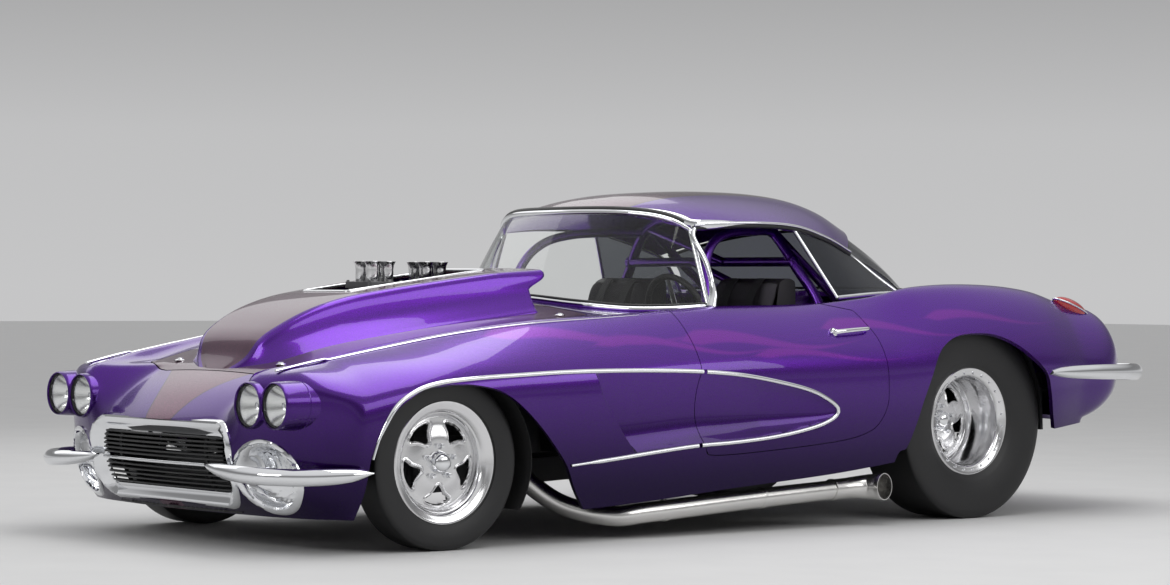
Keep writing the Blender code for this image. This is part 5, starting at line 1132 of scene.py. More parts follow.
def build_nose():
    half, low, high, radius = GRILLE

    def grille_line(inset):
        return oblong(half - inset, low + inset, high - inset, radius - min(inset, 0.04), 12)
    surround = ((-0.046, 0.002), (-0.045, -0.008), (-0.039, -0.014), (-0.031, -0.013), (-0.022, -0.003),
                (-0.010, 0.010), (0.002, 0.020), (0.012, 0.028), (0.018, 0.038), (0.012, 0.042), (-0.002, 0.034),
                (-0.016, 0.022), (-0.034, 0.008))
    piece("grille_surround_ring", ring_part(grille_line, surround), FIN["chrome"], replaces="grille_surround",
          slot="chrome")
    chin = on_nose(np.stack([np.linspace(-0.40, 0.40, 60), np.full(60, 0.131)], axis=1), 0.002)
    blunt = np.sin(np.linspace(0.02, 0.98, 60) * math.pi) ** 0.25
    piece("chin_seal", sweep(chin, circle(0.006, 12), sizes=blunt), FIN["satin"], slot="black")
    x = np.linspace(-0.392, 0.392, 48)

    def across_nose(z, inset):
        level = np.full(len(x), z)
        return np.stack([x, nose_at(x, level) + inset, level], axis=1)
    heights = np.concatenate([np.linspace(0.207, 0.272, 5), np.linspace(0.312, 0.386, 6)])
    bars = [sweep(across_nose(z, 0.036), oblong(0.011, -0.0038, 0.0038, 0.0035, 3)) for z in heights]
    posts = [sweep(np.stack([np.full(12, px), nose_at(np.full(12, px), np.linspace(0.19, 0.40, 12)) + 0.046,
                             np.linspace(0.19, 0.40, 12)], axis=1), circle(0.007, 10), up=(1, 0, 0))
             for px in (-0.28, 0.28)]
    stays = [sweep(np.stack([np.full(6, px), np.linspace(float(nose_at(px, 0.29)) + 0.046, -0.491, 6),
                             np.full(6, 0.290)], axis=1), circle(0.007, 10)) for px in (-0.28, 0.28)]
    piece("grille_billets", joined(*bars, *posts, *stays), FIN["satin"], replaces="grille_bars", slot="black")
    middle = sweep(across_nose(0.292, 0.030), oblong(0.013, -0.006, 0.006, 0.005, 4))
    piece("grille_mid_bar", middle, FIN["chrome"], slot="chrome")
    nostril = ((-0.016, 0.001), (-0.015, -0.006), (-0.006, -0.009), (0.003, -0.005), (0.010, 0.006), (0.013, 0.020),
               (0.008, 0.024), (0.0, 0.010), (-0.008, 0.003))
    pair("nostril_ring", ring_part(oval, nostril), FIN["chrome"], replaces="nostril", slot="chrome")
    edge, centre = oval(0.010), np.array(NOSTRIL[:2])
    rows = [on_nose(centre + (edge - centre) * s, 0.020 + 0.070 * math.sqrt(1 - s * s))
            for s in np.linspace(1, 0, 20)]
    pair("nostril_bowl", thick(*sheet(np.stack(rows), wrap=True), -0.002), FIN["chrome"], slot="chrome")
    build_lamps()
    pair("front_bumper_blade", joined(blade_part(FRONT_BLADE, 0.020), bumper_arm()), FIN["chrome"],
         replaces="front_bumper", slot="chrome")


def bumper_arm():
    return slab(oblong(0.020, 0.262, 0.294, 0.005, 3) + (0.55, 0), -0.700, -0.4903, axis="y")


def blade_part(table, bulge, rows=110):
    """A lens-shaped section carried along the blade's line in plan, its height read from the table."""
    line = through(table, 24)
    line = even(line, rows)
    plan = line[:, :2]
    along = np.gradient(plan, axis=0)
    along /= np.linalg.norm(along, axis=1, keepdims=True)
    out = np.stack([along[:, 1], -along[:, 0]], axis=1)
    out *= np.sign((out * (plan - (0, 1.5))).sum(1, keepdims=True))
    v = np.linspace(-1, 1, 21)
    face = np.stack([(1 - v ** 2) ** 0.75, v], axis=1)
    back = np.stack([-0.25 * (1 - v[::-1] ** 4), v[::-1]], axis=1)[1:-1]
    section = np.concatenate([face, back])
    rings = np.zeros((rows, len(section), 3))
    rings[..., 0] = plan[:, :1] + out[:, :1] * bulge * section[:, 0]
    rings[..., 1] = plan[:, 1:] + out[:, 1:] * bulge * section[:, 0]
    rings[..., 2] = line[:, 2:3] + line[:, 3:4] * 0.5 * section[:, 1]
    ends = [np.repeat(rings[k:k + 1].mean(axis=1, keepdims=True), len(section), 1) for k in (0, -1)]
    rings = np.concatenate([ends[0], rings, ends[1]])
    return rings.reshape(-1, 3), grid_faces(len(rings), len(section), wrap=True)


def build_lamps():
    """Body-coloured pods, and in each a dark ring, a reflector bowl, a bulb cover and a glass pane."""
    pods, rings, bowls, covers, glasses = [], [], [], [], []
    r = LAMP_RADIUS
    for x, z in LAMP_PLACES:
        at = (x, 0, z)
        pods.append(lathe([(0.0745, -0.600), (0.0745, -0.640), (0.0758, -0.6440), (0.0778, -0.6444), (0.0798, -0.6415),
                           (0.0815, -0.630), (0.0840, -0.590), (0.0860, -0.5515), (0.0846, -0.5500), (0.0846, -0.5485),
                           (0.0866, -0.5470), (0.0890, -0.500), (0.0915, -0.42), (0.086, -0.42), (0.080, -0.60),
                           (0.0745, -0.600)], at, axis="y", steps=72))
        rings.append(lathe([(r - 0.002, -0.6345), (r, -0.6380), (r + 0.0025, -0.6375), (r + 0.0038, -0.632),
                            (r + 0.0038, -0.600), (r - 0.002, -0.600), (r - 0.002, -0.6345)], at, axis="y", steps=72))
        depth = np.linspace(0, 1, 14)
        bowl = [(0.067 * d, -0.560 - 0.066 * d ** 2) for d in depth]
        bowl += [(0.068 * d, -0.558 - 0.068 * d ** 2) for d in depth[::-1]]
        bowls.append(lathe(bowl, at, axis="y", steps=48))
        covers.append(lathe([(0, -0.606), (0.010, -0.604), (0.015, -0.596), (0.016, -0.560), (0, -0.560)], at,
                            axis="y", steps=24))
        face = np.linspace(0, 1, 10)
        pane = [(0.0686 * d, LAMP_FACE - 0.020 + 0.010 * d ** 2) for d in face]
        pane += [(0.0686 * d, LAMP_FACE - 0.017 + 0.010 * d ** 2) for d in face[::-1]]
        glasses.append(lathe(pane, at, axis="y", steps=48))
    pair("lamp_pods", joined(*pods), FIN["paint"], slot="paint")
    pair("lamp_rings", joined(*rings), FIN["seal"], slot="black")
    pair("lamp_bowls", joined(*bowls), FIN["reflector"], slot="chrome")
    pair("bulb_covers", joined(*covers), FIN["chrome"], slot="chrome")
    pair("lamp_panes", joined(*glasses), FIN["lens"], replaces="headlamps", slot="lens")


# The tail

def build_tail():
    pair("rear_bumper_blade", blade_part(REAR_BLADE, 0.022), FIN["chrome"], replaces="rear_bumper", slot="chrome")
    arm = joined(slab(oblong(0.022, 0.425, 0.470, 0.008, 4) + (0.36, 0), 3.4503, 3.540, axis="y"),
                 slab(oblong(0.022, 0.445, 0.560, 0.008, 4) + (0.36, 0), 3.520, 3.765, axis="y"))
    pair("rear_bumper_arm", arm, FIN["steel"], slot="steel", bevel=0.002)
    u = np.linspace(0, math.pi, 22)[:, None]
    v = (np.arange(36) / 36 * TAU)[None]
    sx, sy, sz = TAIL_LAMP_SIZE
    ball = np.stack([sx * np.sin(u) * np.cos(v), sy * np.cos(u) + 0 * v, sz * np.sin(u) * np.sin(v)], axis=-1)
    tilt = np.array(Matrix.Rotation(math.radians(-20), 3, "X"))
    ball = ball.reshape(-1, 3) @ tilt.T + TAIL_LAMP
    pair("tail_lens", (ball, grid_faces(22, 36, wrap=True)), FIN["red"], replaces="tail_lamp", slot="red_lens")
    t = np.arange(72) / 72 * TAU
    rim = np.stack([sx * 1.04 * np.cos(t), sy * 1.04 * np.sin(t), np.full(72, 0.004)], axis=1) @ tilt.T + TAIL_LAMP
    pair("tail_lens_rim", sweep(rim, circle(0.0042, 10), closed=True), FIN["chrome"], slot="chrome")


# The glasshouse

PANE = 0.004


def mirrored_line(half):
    return np.concatenate([(half * (-1, 1, 1))[:0:-1], half])


def glass_edge(height):
    foot = np.array([(x, aft, skin_height(x, aft) + 0.008) for x, aft in GLASS_FOOT])
    low, high = mirrored_line(foot), mirrored_line(GLASS_TOP)
    return through(low + (high - low) * height, 10)


def roof_grid():
    """Rows across the roof, mixed from crown to side rail by a power of the distance out."""
    side = through(ROOF_SIDE, 12)
    v = np.linspace(0, 1, len(side))
    mid_aft = ROOF_CROWN[0, 0] + (ROOF_CROWN[-1, 0] - ROOF_CROWN[0, 0]) * v
    mid_z = hermite(ROOF_CROWN, mid_aft)[:, 0]
    u = np.linspace(-1, 1, 81)[None]
    w = np.abs(u)
    x = u * side[:, :1]
    aft = mid_aft[:, None] + (side[:, 1:2] - mid_aft[:, None]) * w ** 2.2
    z = mid_z[:, None] + (side[:, 2:] - mid_z[:, None]) * w ** 2.6
    return np.stack([x, aft, z], axis=-1)


def build_glasshouse():
    leaning = (0.05, -0.6, 0.8)
    low, high = even(glass_edge(0.0), 90), even(glass_edge(1.0), 90)
    frame_section = circle(size("glass_frame"), 14)
    frame_trim = sweep(np.concatenate([low, high[::-1]]), frame_section, up=leaning, closed=True)
    piece("windshield_trim", frame_trim, FIN["chrome"], replaces="windshield_frame", slot="chrome")
    rows = np.stack([glass_edge(height) for height in np.linspace(0.012, 0.985, 14)])
    rows[..., 1] -= np.sin(np.linspace(0, math.pi, 14))[:, None] * 0.010
    piece("windshield_pane", thick(*sheet(rows), PANE), FIN["glass"], replaces="windshield_glass", slot="glass")
    seal = sweep(even(glass_edge(0.035), 110), circle(0.007, 10), up=leaning)
    piece("windshield_seal", seal, FIN["seal"], slot="black")
    header = high[3:-3]
    seal = sweep(header + (0, 0.013, 0.012), circle(0.013, 12, 0.8), up=leaning)
    piece("header_seal", seal, FIN["seal"], slot="black")
    swell = 0.55 + 1.1 * np.abs(np.linspace(-1, 1, len(header))) ** 4
    strip = sweep(header + (0, 0.030, 0.017), circle(0.0095, 12, 0.7), up=leaning, sizes=swell)
    piece("header_trim", strip, FIN["chrome"], slot="chrome")
    roof = thick(*upward(*sheet(roof_grid())), 0.016)
    piece("roof_skin", roof, FIN["paint"], replaces="roof_shell", slot="paint", solid=False)
    top, base = through(mirrored_line(REAR_TOP), 10), through(mirrored_line(REAR_BASE), 10)
    v = np.linspace(0, 1, 16)[:, None, None]
    rows = base[None] + (top - base)[None] * v
    rows[..., 1] += 0.030 * np.sin(v[..., 0] * math.pi)
    piece("rear_pane", thick(*sheet(rows), PANE), FIN["tint"], replaces="rear_glass", slot="glass")
    strip = sweep(even(base + (0, 0.004, -0.012), 80)[1:-1], circle(0.009, 12))
    piece("rear_pane_trim", strip, FIN["chrome"], replaces="rear_glass_base", slot="chrome")
    seal = joined(sweep(even(base + (0, 0.004, 0.0), 80), circle(0.006, 10)),
                  sweep(even(top + (0, 0.003, 0.0), 80), circle(0.007, 10)))
    piece("rear_pane_seal", seal, FIN["seal"], slot="black")
    rails = joined(sweep(even(through(RAIL_PATH, 12), 80), circle(0.009, 14)),
                   sweep(even(through(SILL_PATH, 12), 30), circle(0.009, 14)),
                   sweep(even(BAR_PATH, 12), circle(0.008, 12), up=(0, 1, 0)))
    pair("window_rail_trim", rails, FIN["chrome"], replaces="window_rail", slot="chrome")
    top = np.array(((0.607, 1.850, 1.137), (0.600, 2.020, 1.100), (0.578, 2.175, 1.047), (0.610, 2.290, 0.965),
                    (0.650, 2.362, 0.906)))
    low = np.array(((0.698, 1.994, 0.885), (0.697, 2.085, 0.887), (0.688, 2.180, 0.893), (0.672, 2.280, 0.897),
                    (0.652, 2.364, 0.9005)))
    top, low = through(top, 8), through(low, 8)
    rows = top[None] + (low - top)[None] * np.linspace(0, 1, 10)[:, None, None]
    pair("quarter_pane", thick(*sheet(rows), PANE), FIN["tint"], replaces="quarter_glass", slot="glass")
    pillar = np.array(((0.700, 1.332, 0.845), (0.697, 1.345, 0.905), (0.662, 1.340, 1.012), (0.602, 1.330, 1.100),
                       (0.586, 1.345, 1.138)))
    flare = np.interp(np.linspace(0, 1, 40), (0.0, 0.10, 0.28, 1.0), (2.7, 2.2, 1.3, 1.35))
    pair("pillar_trim", sweep(even(through(pillar, 8), 40), circle(0.009, 16, 0.7), up=(0, 1, 0), sizes=flare),
         FIN["chrome"], slot="chrome")
    corner = np.array(((0.430, 1.262, 1.204), (0.515, 1.303, 1.184), (0.572, 1.345, 1.158), (0.597, 1.400, 1.156),
                       (0.608, 1.490, 1.160), (0.614, 1.600, 1.163)))
    swell = 0.25 + np.sin(np.linspace(0, 1, 50) * math.pi) ** 1.5
    pair("roof_corner_cap", sweep(even(through(corner, 10), 50), circle(0.006, 14, 2.4), sizes=swell), FIN["chrome"],
         slot="chrome")
    drip = np.array(((0.590, 1.345, 1.150), (0.612, 1.575, 1.163), (0.614, 1.830, 1.157), (0.605, 2.020, 1.115),
                     (0.581, 2.175, 1.061)))
    drip = even(through(drip, 10), 60)
    pair("drip_rail", sweep(drip + (0.002, 0, 0.002), circle(0.0055, 10)), FIN["chrome"], slot="chrome")
    pair("drip_seal", sweep(drip - (0.002, 0, 0.010), circle(0.0075, 10)), FIN["seal"], slot="black")


# Wheels

def tyre_part(radius, width, seat, centre, square):
    """Tyre section turned round the axle: bead, bulging wall, shoulder and a tread that is flat across."""
    half = width / 2
    wall = [(RIM_RADIUS - 0.004, seat), (RIM_RADIUS + 0.004, seat + 0.004), (RIM_RADIUS + 0.012, seat + 0.006)]
    reach = radius - RIM_RADIUS
    for t in np.linspace(0.12, 0.80, 9):
        bulge = math.sin(min(t / 0.75, 1.0) * math.pi / 2)
        wall.append((RIM_RADIUS + reach * t, seat + 0.006 + (half - seat - 0.006) * bulge))
    for a in np.linspace(0.2, 1.0, 6):
        angle = a * math.pi / 2
        wall.append((RIM_RADIUS + reach * 0.80 + reach * 0.20 * math.sin(angle),
                     half - square * (1 - math.cos(angle))))
    flat = [(radius, x) for x in np.linspace(half - square - 0.01, -half + square + 0.01, 9)]
    profile = wall + flat + [(r, -h) for r, h in wall[::-1]]
    profile.append(profile[0])
    return lathe(profile, centre, steps=128)


SPOKES = 5
QUARTER_TURN = math.radians(90)


def window_lines(r_low, r_high, half_low, half_high):
    """Rounded windows between the spokes, as outlines in the plane of the wheel."""
    r_mid, half_mid = 0.5 * (r_low + r_high), 0.5 * (half_low + half_high)
    corners = ((r_low, half_low), (r_mid, half_mid), (r_high - 0.006, half_high), (r_high, half_high * 0.75),
               (r_high + 0.003, 0.0), (r_high, -half_high * 0.75), (r_high - 0.006, -half_high),
               (r_mid, -half_mid), (r_low, -half_low), (r_low - 0.005, 0.0))
    lines = []
    for k in range(SPOKES):
        middle = QUARTER_TURN + (k + 0.5) * TAU / SPOKES
        turned = [(r * math.cos(middle + a), r * math.sin(middle + a)) for r, a in corners]
        lines.append(through(turned, 5, closed=True))
    return lines


def star_disc(centre, face, dish, outer, lines):
    """A wheel centre: a disc that falls from hub to edge, pierced by windows with raised edges."""
    rings, turns = 64, 230
    r = np.linspace(0.030, outer, rings)[:, None]
    t = (np.arange(turns) / turns * TAU)[None]
    y, z = r * np.cos(t), r * np.sin(t)
    height = face - dish * step(r, 0.075, 0.145) - 0.016 * step(r, 0.157, outer) + 0 * t
    flat = np.stack([y.ravel(), z.ravel()], axis=1)
    reach = np.full(len(flat), -0.05)
    for line in lines:
        reach = np.maximum(reach, near(flat, line, 0.03))
    lift = 0.0035 * step(reach, -0.012, -0.007) * (1 - step(reach, -0.005, -0.001))
    height = height.ravel() + lift - 0.004 * step(reach, -0.004, 0.0)
    verts = np.stack([height, flat[:, 0], flat[:, 1]], axis=1)
    faces = triangles(grid_faces(rings, turns, wrap=True))
    verts, faces = clip(verts, faces, -np.maximum(reach, -0.03) - 1e-6)
    if point_normals(verts, faces)[:, 0].sum() < 0:
        faces = faces[:, ::-1]
    verts, faces = thick(verts, faces, 0.013)
    return verts + centre, faces


def build_wheels():
    lines = window_lines(size("window_inner"), size("window_outer"), 0.09, 0.37)
    # each end's axle, tyre width, rim width, place of the wheel's face, square of the tread and depth of the dish
    ends = {"front": (FRONT_AXLE, 0.142, 0.118, 0.024, 0.012, 0.012),
            "rear": (REAR_AXLE, 0.262, 0.206, -0.062, 0.016, 0.014)}
    for end, (axle, width, rim_width, face, square, dish) in ends.items():
        bodies = ("wheel_" + end + "_left", "wheel_" + end + "_right")
        centre = np.array(axle)
        half = rim_width / 2
        rubber = tyre_part(centre[2], width, half - 0.008, centre, square)
        pair("slick_" + end, rubber, FIN["tyre"], body=bodies, replaces="tyre_" + end, slot="tyre")
        barrel = [(RIM_WELL - 0.016, face - 0.030), (RIM_WELL - 0.010, face + 0.006), (RIM_WELL - 0.006, face + 0.010),
                  (RIM_WELL - 0.003, half - 0.024), (RIM_WELL + 0.004, half - 0.012), (RIM_WELL + 0.012, half - 0.008),
                  (RIM_RADIUS - 0.010, half - 0.006), (RIM_RADIUS - 0.003, half - 0.001), (RIM_RADIUS + 0.004, half - 0.001),
                  (RIM_RADIUS + 0.0075, half - 0.004), (RIM_RADIUS + 0.006, half - 0.008), (RIM_RADIUS - 0.003, half - 0.009),
                  (RIM_RADIUS - 0.006, half - 0.020), (RIM_WELL + 0.004, half - 0.030), (RIM_WELL + 0.004, 0.0),
                  (RIM_WELL + 0.004, -half + 0.02), (RIM_RADIUS - 0.004, -half + 0.010), (RIM_RADIUS + 0.006, -half + 0.006),
                  (RIM_RADIUS - 0.004, -half + 0.002), (RIM_WELL, -half + 0.012), (RIM_WELL - 0.004, -half + 0.03),
                  (RIM_WELL - 0.004, face - 0.040), (RIM_WELL - 0.016, face - 0.030)]
        disc = star_disc(centre, face, dish, RIM_WELL - 0.004, lines)
        hub = lathe([(0, face - 0.038), (0.038, face - 0.038), (0.041, face + 0.002), (0.039, face + 0.006),
                     (0.036, face + 0.020), (0.029, face + 0.032), (0.017, face + 0.039), (0, face + 0.041)],
                    centre, steps=48)
        backing = lathe([(0.066, face - 0.038), (0.066, face - 0.012), (0.050, face - 0.012), (0.050, face - 0.038),
                         (0.066, face - 0.038)], centre, steps=48)
        pair("rim_barrel_" + end, joined(lathe(barrel, centre, steps=128), backing), FIN["polished"], body=bodies,
             replaces="rim_" + end, slot="polished")
        pair("rim_star_" + end, disc, FIN["face_" + end], body=bodies, slot="polished", solid=False)
        t = QUARTER_TURN + np.arange(SPOKES) * TAU / SPOKES
        spots = np.stack([0 * t, 0.057 * np.cos(t), 0.057 * np.sin(t)], axis=1) + centre
        nut = lathe([(0, face - 0.004), (0.0115, face - 0.004), (0.0115, face + 0.001), (0.009, face + 0.003),
                     (0.009, face + 0.018), (0.007, face + 0.023), (0, face + 0.024)], (0, 0, 0), steps=6)
        parts = [hub, repeated(nut, spots)]
        if end == "rear":
            t = (np.arange(24) + 0.5) * TAU / 24
            spots = np.stack([np.full(24, half - 0.0065), 0.194 * np.cos(t), 0.194 * np.sin(t)], axis=1) + centre
            screw = [(0, -0.004), (0.0050, -0.004), (0.0050, 0.003), (0.0035, 0.005), (0, 0.0055)]
            parts.append(repeated(lathe(screw, (0, 0, 0), steps=8), spots))
        pair("wheel_hardware_" + end, joined(*parts), FIN["chrome"], body=bodies, slot="polished")


# Engine, cabin and running gear

def build_engine():
    """Carburettors with flared stacks on a plate. The block keeps its shape from the frame."""
    stack_places, screw_places, parts = [], [], []
    base = slab(oblong(0.113, 0.0, 0.503, 0.018, 6) + (0, 0.151), 0.657, 0.800, axis="z")
    for aft in CARB_AFTS:
        for half, corner, low, high in ((0.085, 0.018, 0.795, 0.850), (0.074, 0.014, 0.850, 0.905),
                                        (0.082, 0.018, 0.905, 0.930)):
            parts.append(slab(oblong(half, -half, half, corner, 6) + (0, aft), low, high, axis="z"))
        for sx, sy in ((-1, -1), (-1, 1), (1, -1), (1, 1)):
            stack_places.append((sx * STACK_PITCH / 2, aft + sy * STACK_PITCH / 2, 0))
            screw_places.append((sx * 0.070, aft + sy * 0.070, 0.930))
    stack = lathe([(0.0215, 0.900), (0.0235, 0.903), (0.0235, 0.975), (0.0250, 0.990), (0.0290, 0.999), (0.0312, 1.0035),
                   (0.0318, 1.0050), (0.0310, 1.0058), (0.0280, 1.0020), (0.0235, 0.992), (0.0212, 0.975),
                   (0.0205, 0.940), (0.0200, 0.930), (0.0, 0.929), (0.0, 0.900), (0.0215, 0.900)], (0, 0, 0), axis="z",
                  steps=40)
    screw = lathe([(0, 0), (0.006, 0), (0.006, 0.004), (0.004, 0.006), (0, 0.006)], (0, 0, 0), axis="z", steps=12)
    piece("carburettor_bodies", joined(base, *parts, repeated(screw, screw_places)), FIN["cast"],
          replaces="carburettors", slot="polished", bevel=0.0015)
    piece("velocity_stacks", repeated(stack, stack_places), FIN["polished"], slot="polished")
    dressed("engine", FIN["cast"])


# Middle of a seat's face from the front of the cushion to the top of the back, as (aft, z)
SEAT_FACE = through([(1.350, 0.500), (1.375, 0.524), (1.48, 0.520), (1.60, 0.507), (1.69, 0.508), (1.735, 0.540),
                     (1.765, 0.66), (1.785, 0.80), (1.800, 0.90), (1.820, 0.938)], 6)
# Side view of a seat's shell, as (aft, z)
SEAT_SIDE = through([(1.345, 0.300), (1.840, 0.345), (1.885, 0.62), (1.900, 0.90), (1.880, 0.950),
                     (1.830, 0.945), (1.806, 0.900), (1.772, 0.64), (1.742, 0.535), (1.690, 0.500),
                     (1.48, 0.512), (1.375, 0.512), (1.345, 0.480)], 4, closed=True)
SEAT_SIDE[:, 1] = np.maximum(SEAT_SIDE[:, 1], 0.312 + (SEAT_SIDE[:, 0] - 1.34) * 0.03)


def cushion(centre, first, last, half, rise, wing):
    """A crowned pad on the seat's face: full in its middle, drawn in at sewn channels, closed behind."""
    run = even(SEAT_FACE[first:last], 40)
    along = np.gradient(run, axis=0)
    along /= np.linalg.norm(along, axis=1, keepdims=True)
    normal = np.stack([-along[:, 1], along[:, 0]], axis=1)
    v = np.linspace(-1, 1, 40)[:, None]
    uu = np.linspace(-1, 1, 49)[None]
    crown = np.clip(1 - np.abs(uu) ** 5, 0, 1) ** 0.5 * np.clip(1 - np.abs(v) ** 6, 0, 1) ** 0.5
    channel = 1 - 0.30 * np.exp(-((np.abs(uu) - 0.56) / 0.035) ** 2)
    ribs = 1 - 0.14 * np.exp(-(((v * 3.5) - np.round(v * 3.5)) / 0.10) ** 2) * (np.abs(uu) < 0.54)
    bolster = wing * step(np.abs(uu), 0.55, 0.90)
    height = (rise + bolster) * crown * channel * ribs
    width = half * (1 - 0.05 * np.abs(v) ** 4)
    x = centre + uu * width

    def layer(off):
        return np.stack([x, run[:, :1] + normal[:, :1] * off, run[:, 1:] + normal[:, 1:] * off], axis=-1)
    grid = np.concatenate([layer(height), layer(-0.012 * crown)[:, ::-1]], axis=1)
    return grid.reshape(-1, 3), grid_faces(*grid.shape[:2], wrap=True)


def build_seats():
    for name, centre in (("driver", 0.385), ("passenger", -0.385)):
        node = "seat_" + name
        shell = slab(SEAT_SIDE, centre - 0.176, centre + 0.176)
        shell[0][:, 2] = np.maximum(shell[0][:, 2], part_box(node)[0][2])
        body = piece("seat_shell_" + name, shell, FIN["leather"], replaces=node, slot="black", bevel=0.006)
        # each pad's first and last point on the seat's face, its half width and the height of its bolsters
        for part, first, last, half, wing in (("seat_base_", 2, 32, 0.176, 0.030), ("seat_back_", 30, 54, 0.172, 0.034)):
            pad = piece(part + name, cushion(centre, first, last, half, 0.026, wing), FIN["cloth"], slot="black")
        build_harness(name, centre)


def build_harness(name, centre):
    """Shoulder and lap straps with a buckle, laid over the pads."""
    half = size("strap_width") / 2
    flat = np.array(((-half, -0.0012), (half, -0.0012), (half, 0.0012), (-half, 0.0012)))
    parts = []
    for side in (-1, 1):
        shoulder = np.array(((centre + side * 0.075, 1.838, 0.952), (centre + side * 0.075, 1.800, 0.945),
                             (centre + side * 0.072, 1.748, 0.86), (centre + side * 0.066, 1.730, 0.74),
                             (centre + side * 0.046, 1.690, 0.60), (centre + side * 0.018, 1.640, 0.553)))
        parts.append(sweep(even(through(shoulder, 8), 40), flat, up=(0, -0.85, 0.5)))
        lap = np.array(((centre + side * 0.168, 1.720, 0.560), (centre + side * 0.120, 1.660, 0.566),
                        (centre + side * 0.03, 1.632, 0.552)))
        parts.append(sweep(even(through(lap, 8), 24), flat[:, ::-1], up=(0, 0, 1)))
    piece("harness_" + name, joined(*parts), FIN["web"], slot="black")
    buckle = lathe([(0, -0.010), (0.024, -0.010), (0.027, -0.004), (0.026, 0.006), (0.016, 0.010), (0, 0.011)],
                   (centre, 1.632, 0.562), axis="z", steps=32)
    piece("harness_buckle_" + name, buckle, FIN["bolt"], slot="chrome")


def build_cabin():
    outline = through([(1.10, 0.775), (1.10, 0.722), (1.16, 0.694), (1.22, 0.672), (1.272, 0.676), (1.294, 0.708),
                       (1.296, 0.742), (1.270, 0.780), (1.20, 0.790)], 6, closed=True)
    rows = [np.insert(outline, 0, x, axis=1) for x in (-0.640, *np.linspace(-0.640, 0.640, 41), 0.640)]
    for end in (rows[0], rows[-1]):
        end[:, 1:] = outline.mean(axis=0)
    panel_part = (np.concatenate(rows), grid_faces(len(rows), len(outline), wrap=True))
    direction = (WHEEL_HUB - COLUMN_ROOT) / np.linalg.norm(WHEEL_HUB - COLUMN_ROOT)
    column = sweep(np.stack([COLUMN_ROOT, (COLUMN_ROOT + WHEEL_HUB) / 2, WHEEL_HUB - direction * 0.0253]), circle(0.020, 24))
    bracket = slab(oblong(0.020, 0.730, 0.755, 0.004, 3), 0.9603, 1.15, axis="y")
    piece("dash_cover", joined(panel_part, column, bracket), FIN["dash"], replaces="dash", slot="black")
    rims, dials, needles = [], [], []
    needle_turn = np.array(Matrix.Rotation(math.radians(210), 3, "Y"))
    for x, r in ((0.250, 0.036), (0.370, 0.052), (0.490, 0.036), (0.0, 0.034), (-0.09, 0.034), (0.09, 0.034)):
        at = (x, 0, 0.722)
        rims.append(lathe([(r - 0.004, 1.290), (r - 0.004, 1.303), (r, 1.305), (r + 0.003, 1.302), (r + 0.003, 1.290),
                           (r - 0.004, 1.290)], at, axis="y", steps=48))
        dials.append(lathe([(0, 1.2985), (r - 0.003, 1.2985), (r - 0.003, 1.290), (0, 1.290)], at, axis="y", steps=48))
        outline = ((-0.0012, -0.004), (0.0012, -0.004), (0.0008, r * 0.8), (-0.0008, r * 0.8))
        verts, faces = slab(np.array(outline), 1.2985, 1.300, axis="y")
        needles.append((verts @ needle_turn.T + at, faces))
    piece("gauge_rims", joined(*rims), FIN["chrome"], slot="chrome")
    piece("gauge_faces", joined(*dials), FIN["dial"], slot="black")
    piece("gauge_needles", joined(*needles), FIN["red"], slot="red_lens")
    turn = np.array(Vector(direction).to_track_quat("Z", "Y").to_matrix())
    hoop = sweep(np.insert(circle(0.165, 96), 2, 0.0, axis=1), circle(0.0125, 16), closed=True)
    hub = lathe([(0, -0.025), (0.034, -0.025), (0.036, -0.010), (0.036, 0.006), (0.028, 0.016), (0, 0.018)], (0, 0, 0),
                axis="z", steps=48)
    spokes, rivets = [], []
    for angle in np.radians((90, 210, 330)):
        d = np.array((math.cos(angle), math.sin(angle), 0))
        line = np.stack([d * 0.02, d * 0.07, d * 0.12, d * 0.158])
        spokes.append(sweep(even(line, 12), oblong(0.014, -0.002, 0.002, 0.0018, 3), sizes=np.linspace(1.25, 0.8, 12)))
        rivets.append(d * 0.05)
    rivet = lathe([(0, 0.0), (0.004, 0.0), (0.004, 0.018), (0, 0.020)], (0, 0, 0), axis="z", steps=12)
    hub = joined(hub, *spokes, repeated(rivet, rivets))
    for name, (verts, faces), finish, replaces in (("steering_rim", hoop, "leather", "steering_wheel"),
                                                   ("steering_hub", hub, "polished", ())):
        piece(name, (np.asarray(verts) @ turn.T + WHEEL_HUB, faces), FIN[finish], body="steering_wheel",
              slot="black", replaces=replaces)
    shift = joined(sweep(np.array(((0.0, 1.42, 0.46), (0.0, 1.44, 0.56), (0.0, 1.45, 0.66))), circle(0.007, 16)),
                   lathe([(0, 0.655), (0.014, 0.660), (0.022, 0.675), (0.022, 0.690), (0.012, 0.702), (0, 0.704)],
                         (0, 1.45, 0), axis="z", steps=32))
    piece("shift_lever", shift, FIN["polished"], slot="polished")


